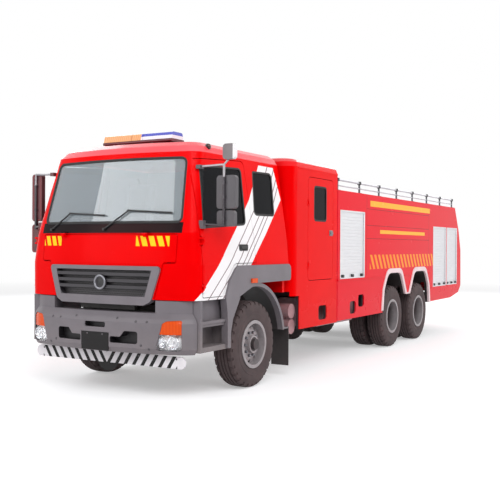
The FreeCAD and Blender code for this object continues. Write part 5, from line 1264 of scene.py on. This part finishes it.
def blown(piece):
    """Remeshes a block, swells it as cloth and smooths it once."""
    modify(piece, "REMESH", mode="VOXEL", voxel_size=0.010)
    before = [vertex.co.copy() for vertex in piece.data.vertices]
    cloth = piece.modifiers.new("Cloth", "CLOTH")
    cloth.settings.use_pressure = True
    cloth.settings.uniform_pressure_force = 4.0
    cloth.settings.effector_weights.gravity = 0.0
    scene = bpy.context.scene
    for moment in range(1, PAD_FRAMES + 1):
        scene.frame_set(moment)
    only(piece)
    bpy.ops.object.modifier_apply(modifier="Cloth")
    scene.frame_set(1)
    for vertex, start_place in zip(piece.data.vertices, before):
        move = vertex.co - start_place
        if move.length > PAD_SWELL:
            vertex.co = start_place + move * (PAD_SWELL / move.length)
    modify(piece, "SUBSURF", levels=1, render_levels=1)
    return close(piece, 80)


def sewn(piece, axis, sign):
    """Presses two channels into the face that is sat on or leant against."""
    for vertex in piece.data.vertices:
        if vertex.co[axis] * sign > 0.02:
            dip = math.exp(-(((abs(vertex.co.x) - CHANNEL_X) / CHANNEL_WIDTH) ** 2))
            vertex.co[axis] -= sign * CHANNEL_DEPTH * dip
    piece.data.update()
    return piece


def pad(name, size, axis, sign):
    """Cushion about the origin: a small rounded block, blown up and sewn."""
    half = [length / 2 - PAD_SWELL * 0.75 for length in size]
    blank = block(name, [-value for value in half], half, 0.026, 4)
    return sewn(blown(blank), axis, sign)


# %% Cushions and backrests
SEAT_DEPTH, SEAT_THICK = 0.480, 0.110
BACK_HEIGHT, BACK_THICK = 0.650, 0.105
SEAT_WIDTHS = {"cab": 0.480, "crew": 0.600}
FLOOR_TOPS = {"cab": 1.3005, "crew": 1.1805}
pads = {}
for kind, width in SEAT_WIDTHS.items():
    pads[kind] = (pad("cushion_" + kind, (width, SEAT_DEPTH, SEAT_THICK), 2, 1),
                  pad("back_" + kind, (width, BACK_THICK, BACK_HEIGHT), 1, -1))
    print(kind, "pad faces", [len(piece.data.polygons) for piece in pads[kind]])

# %% Put the seats in place
seat_places = [("cab", -0.620, FACE + 0.950, 1.920), ("cab", 0.620, FACE + 0.950, 1.920),
               ("crew", -0.760, FACE + 3.000, 1.630), ("crew", 0.000, FACE + 3.000, 1.630),
               ("crew", 0.760, FACE + 3.000, 1.630)]
LEAN = Matrix.Rotation(math.radians(-8), 4, "X")
UPRIGHT = Matrix.Rotation(math.radians(90), 4, "X")
PIPE_INSET = 0.034


def place_pad(model, name, matrix):
    """Copy of a pad in its seat, standing for the CAD seats."""
    copy = own_copy(model, name, matrix)
    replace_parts(fit(copy, "root", "seat_cloth"), "seats")


def piping(name, width, depth, matrix):
    """Cord sewn round the middle of a pad's edge."""
    points = [(u, v, 0.0) for u, v in rounded(width - PIPE_INSET, depth - PIPE_INSET, 0.05, 6)]
    cord = tube(name, points, 0.004, closed=True, sides=2)
    cord.data.transform(matrix)
    return cord


def seat_frame(name, x, y, top, width, floor_z):
    """Pressed base and the post that carries the backrest."""
    base = block(name + "_base", (x - width / 2 + 0.06, y + 0.04, floor_z),
                 (x + width / 2 - 0.06, y + 0.44, top - 0.118), 0.012, 2)
    edit(base)
    pick(base, lambda place, normal: abs(normal.x) > 0.9 or normal.y < -0.9)
    bpy.ops.mesh.inset(thickness=0.03, depth=0.0, use_individual=True)
    bpy.ops.mesh.inset(thickness=0.006, depth=-0.008, use_individual=True)
    close(base)
    post = block(name + "_post", (x - 0.06, y + 0.42, top - 0.10), (x + 0.06, y + 0.535, top - 0.03), 0.006, 2)
    return joined(name + "_frame", [base, post])


for number, (kind, x, y, top) in enumerate(seat_places, 1):
    name = kind + "_seat_" + str(number)
    width = SEAT_WIDTHS[kind]
    middle = Matrix.Translation((x, y + SEAT_DEPTH / 2, top - SEAT_THICK / 2))
    behind = Matrix.Translation((x, y + 0.560, top + 0.312)) @ LEAN
    place_pad(pads[kind][0], name + "_cushion", middle)
    place_pad(pads[kind][1], name + "_back", behind)
    base = seat_frame(name, x, y, top, width, FLOOR_TOPS[kind])
    cords = joined(name + "_piping", [piping(name + "_piping", width, SEAT_DEPTH, middle),
                                      piping(name + "_edge", width, BACK_HEIGHT, behind @ UPRIGHT)])
    for piece in (base, cords):
        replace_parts(fit(piece, "root", "black_plastic"), "seats")
for pair in pads.values():
    for model in pair:
        bpy.data.objects.remove(model)
print("seats in place", len(seat_places))


# %% [markdown]
# ## Tail, roof and wheels
# The last small pieces are what the crew would touch: rings and handles of the deck hatches, a
# handle on the tail shutter and six-sided caps on the wheel nuts. The caps are a section spun in only
# six steps, which makes the flats.

# %% Hatches and tail handle
def grip(name, start_place, end_place, stand, radius=0.009):
    """Bent bar: two legs standing off a surface and a grip between them."""
    start_place, end_place, stand = Vector(start_place), Vector(end_place), Vector(stand)
    along = (end_place - start_place).normalized() * 0.018
    points = [start_place, start_place + stand * 0.75, start_place + stand + along,
              end_place + stand - along, end_place + stand * 0.75, end_place]
    return tube(name, points, radius)


DECK = 2.540
HATCH_TOP = DECK + 0.026
BOGIE_Y = (middle_of("tyres_middle_left").y + middle_of("tyres_rear_left").y) / 2
hatch_outline = [(0, 0.225), (0.006, 0.228), (0.010, 0.236), (0.010, 0.246), (0.004, 0.254), (0, 0.256)]
hatch_rings, hatch_grips = [], []
for y in (BOGIE_Y - 1.1, BOGIE_Y + 0.5):
    hatch_rings.append(turned("hatch_ring", (0, y, HATCH_TOP), (0, 0, 1), hatch_outline, 64, closed=True))
    hatch_grips.append(grip("hatch_grip", (-0.09, y, HATCH_TOP - 0.001), (0.09, y, HATCH_TOP - 0.001),
                            (0, 0, 0.05)))
fit(joined("hatch_rings", hatch_rings), "root", "dull_chrome")
fit(joined("hatch_grips", hatch_grips), "root", "railing")
spot, normal = touch("shutters", (0, 9.0, 1.05), (0, -1, 0))
tail_grip = grip("tail_grip", (-0.14, spot.y - 0.002, 1.03), (0.14, spot.y - 0.002, 1.03), (0, 0.032, 0), 0.008)
fit(tail_grip, "root", "dull_chrome")
print("deck and tail grips on")

# %% Wheel nuts
NUT_CIRCLE = 0.142
NUTS = 10
cap_outline = [(-0.037, 0), (-0.037, 0.022), (-0.030, 0.022), (-0.028, 0.0185), (-0.002, 0.0180),
               (0.004, 0.013), (0.005, 0)]
for wheel, side, plural in WHEELS:
    node = "rim" + plural + "_" + wheel
    middle = middle_of(node)
    caps = []
    for index in range(NUTS):
        turn = math.tau * index / NUTS
        above = (side * 3, middle.y + NUT_CIRCLE * math.cos(turn), middle.z + NUT_CIRCLE * math.sin(turn))
        spot, normal = touch(node, above, (-side, 0, 0))
        caps.append(turned("cap", spot, (side, 0, 0), cap_outline, 6))
    fit(joined("rim_" + wheel + "_nuts", caps), "wheel_" + wheel, "dull_chrome")
print("wheel nuts on")


# %% Finish
print("done")
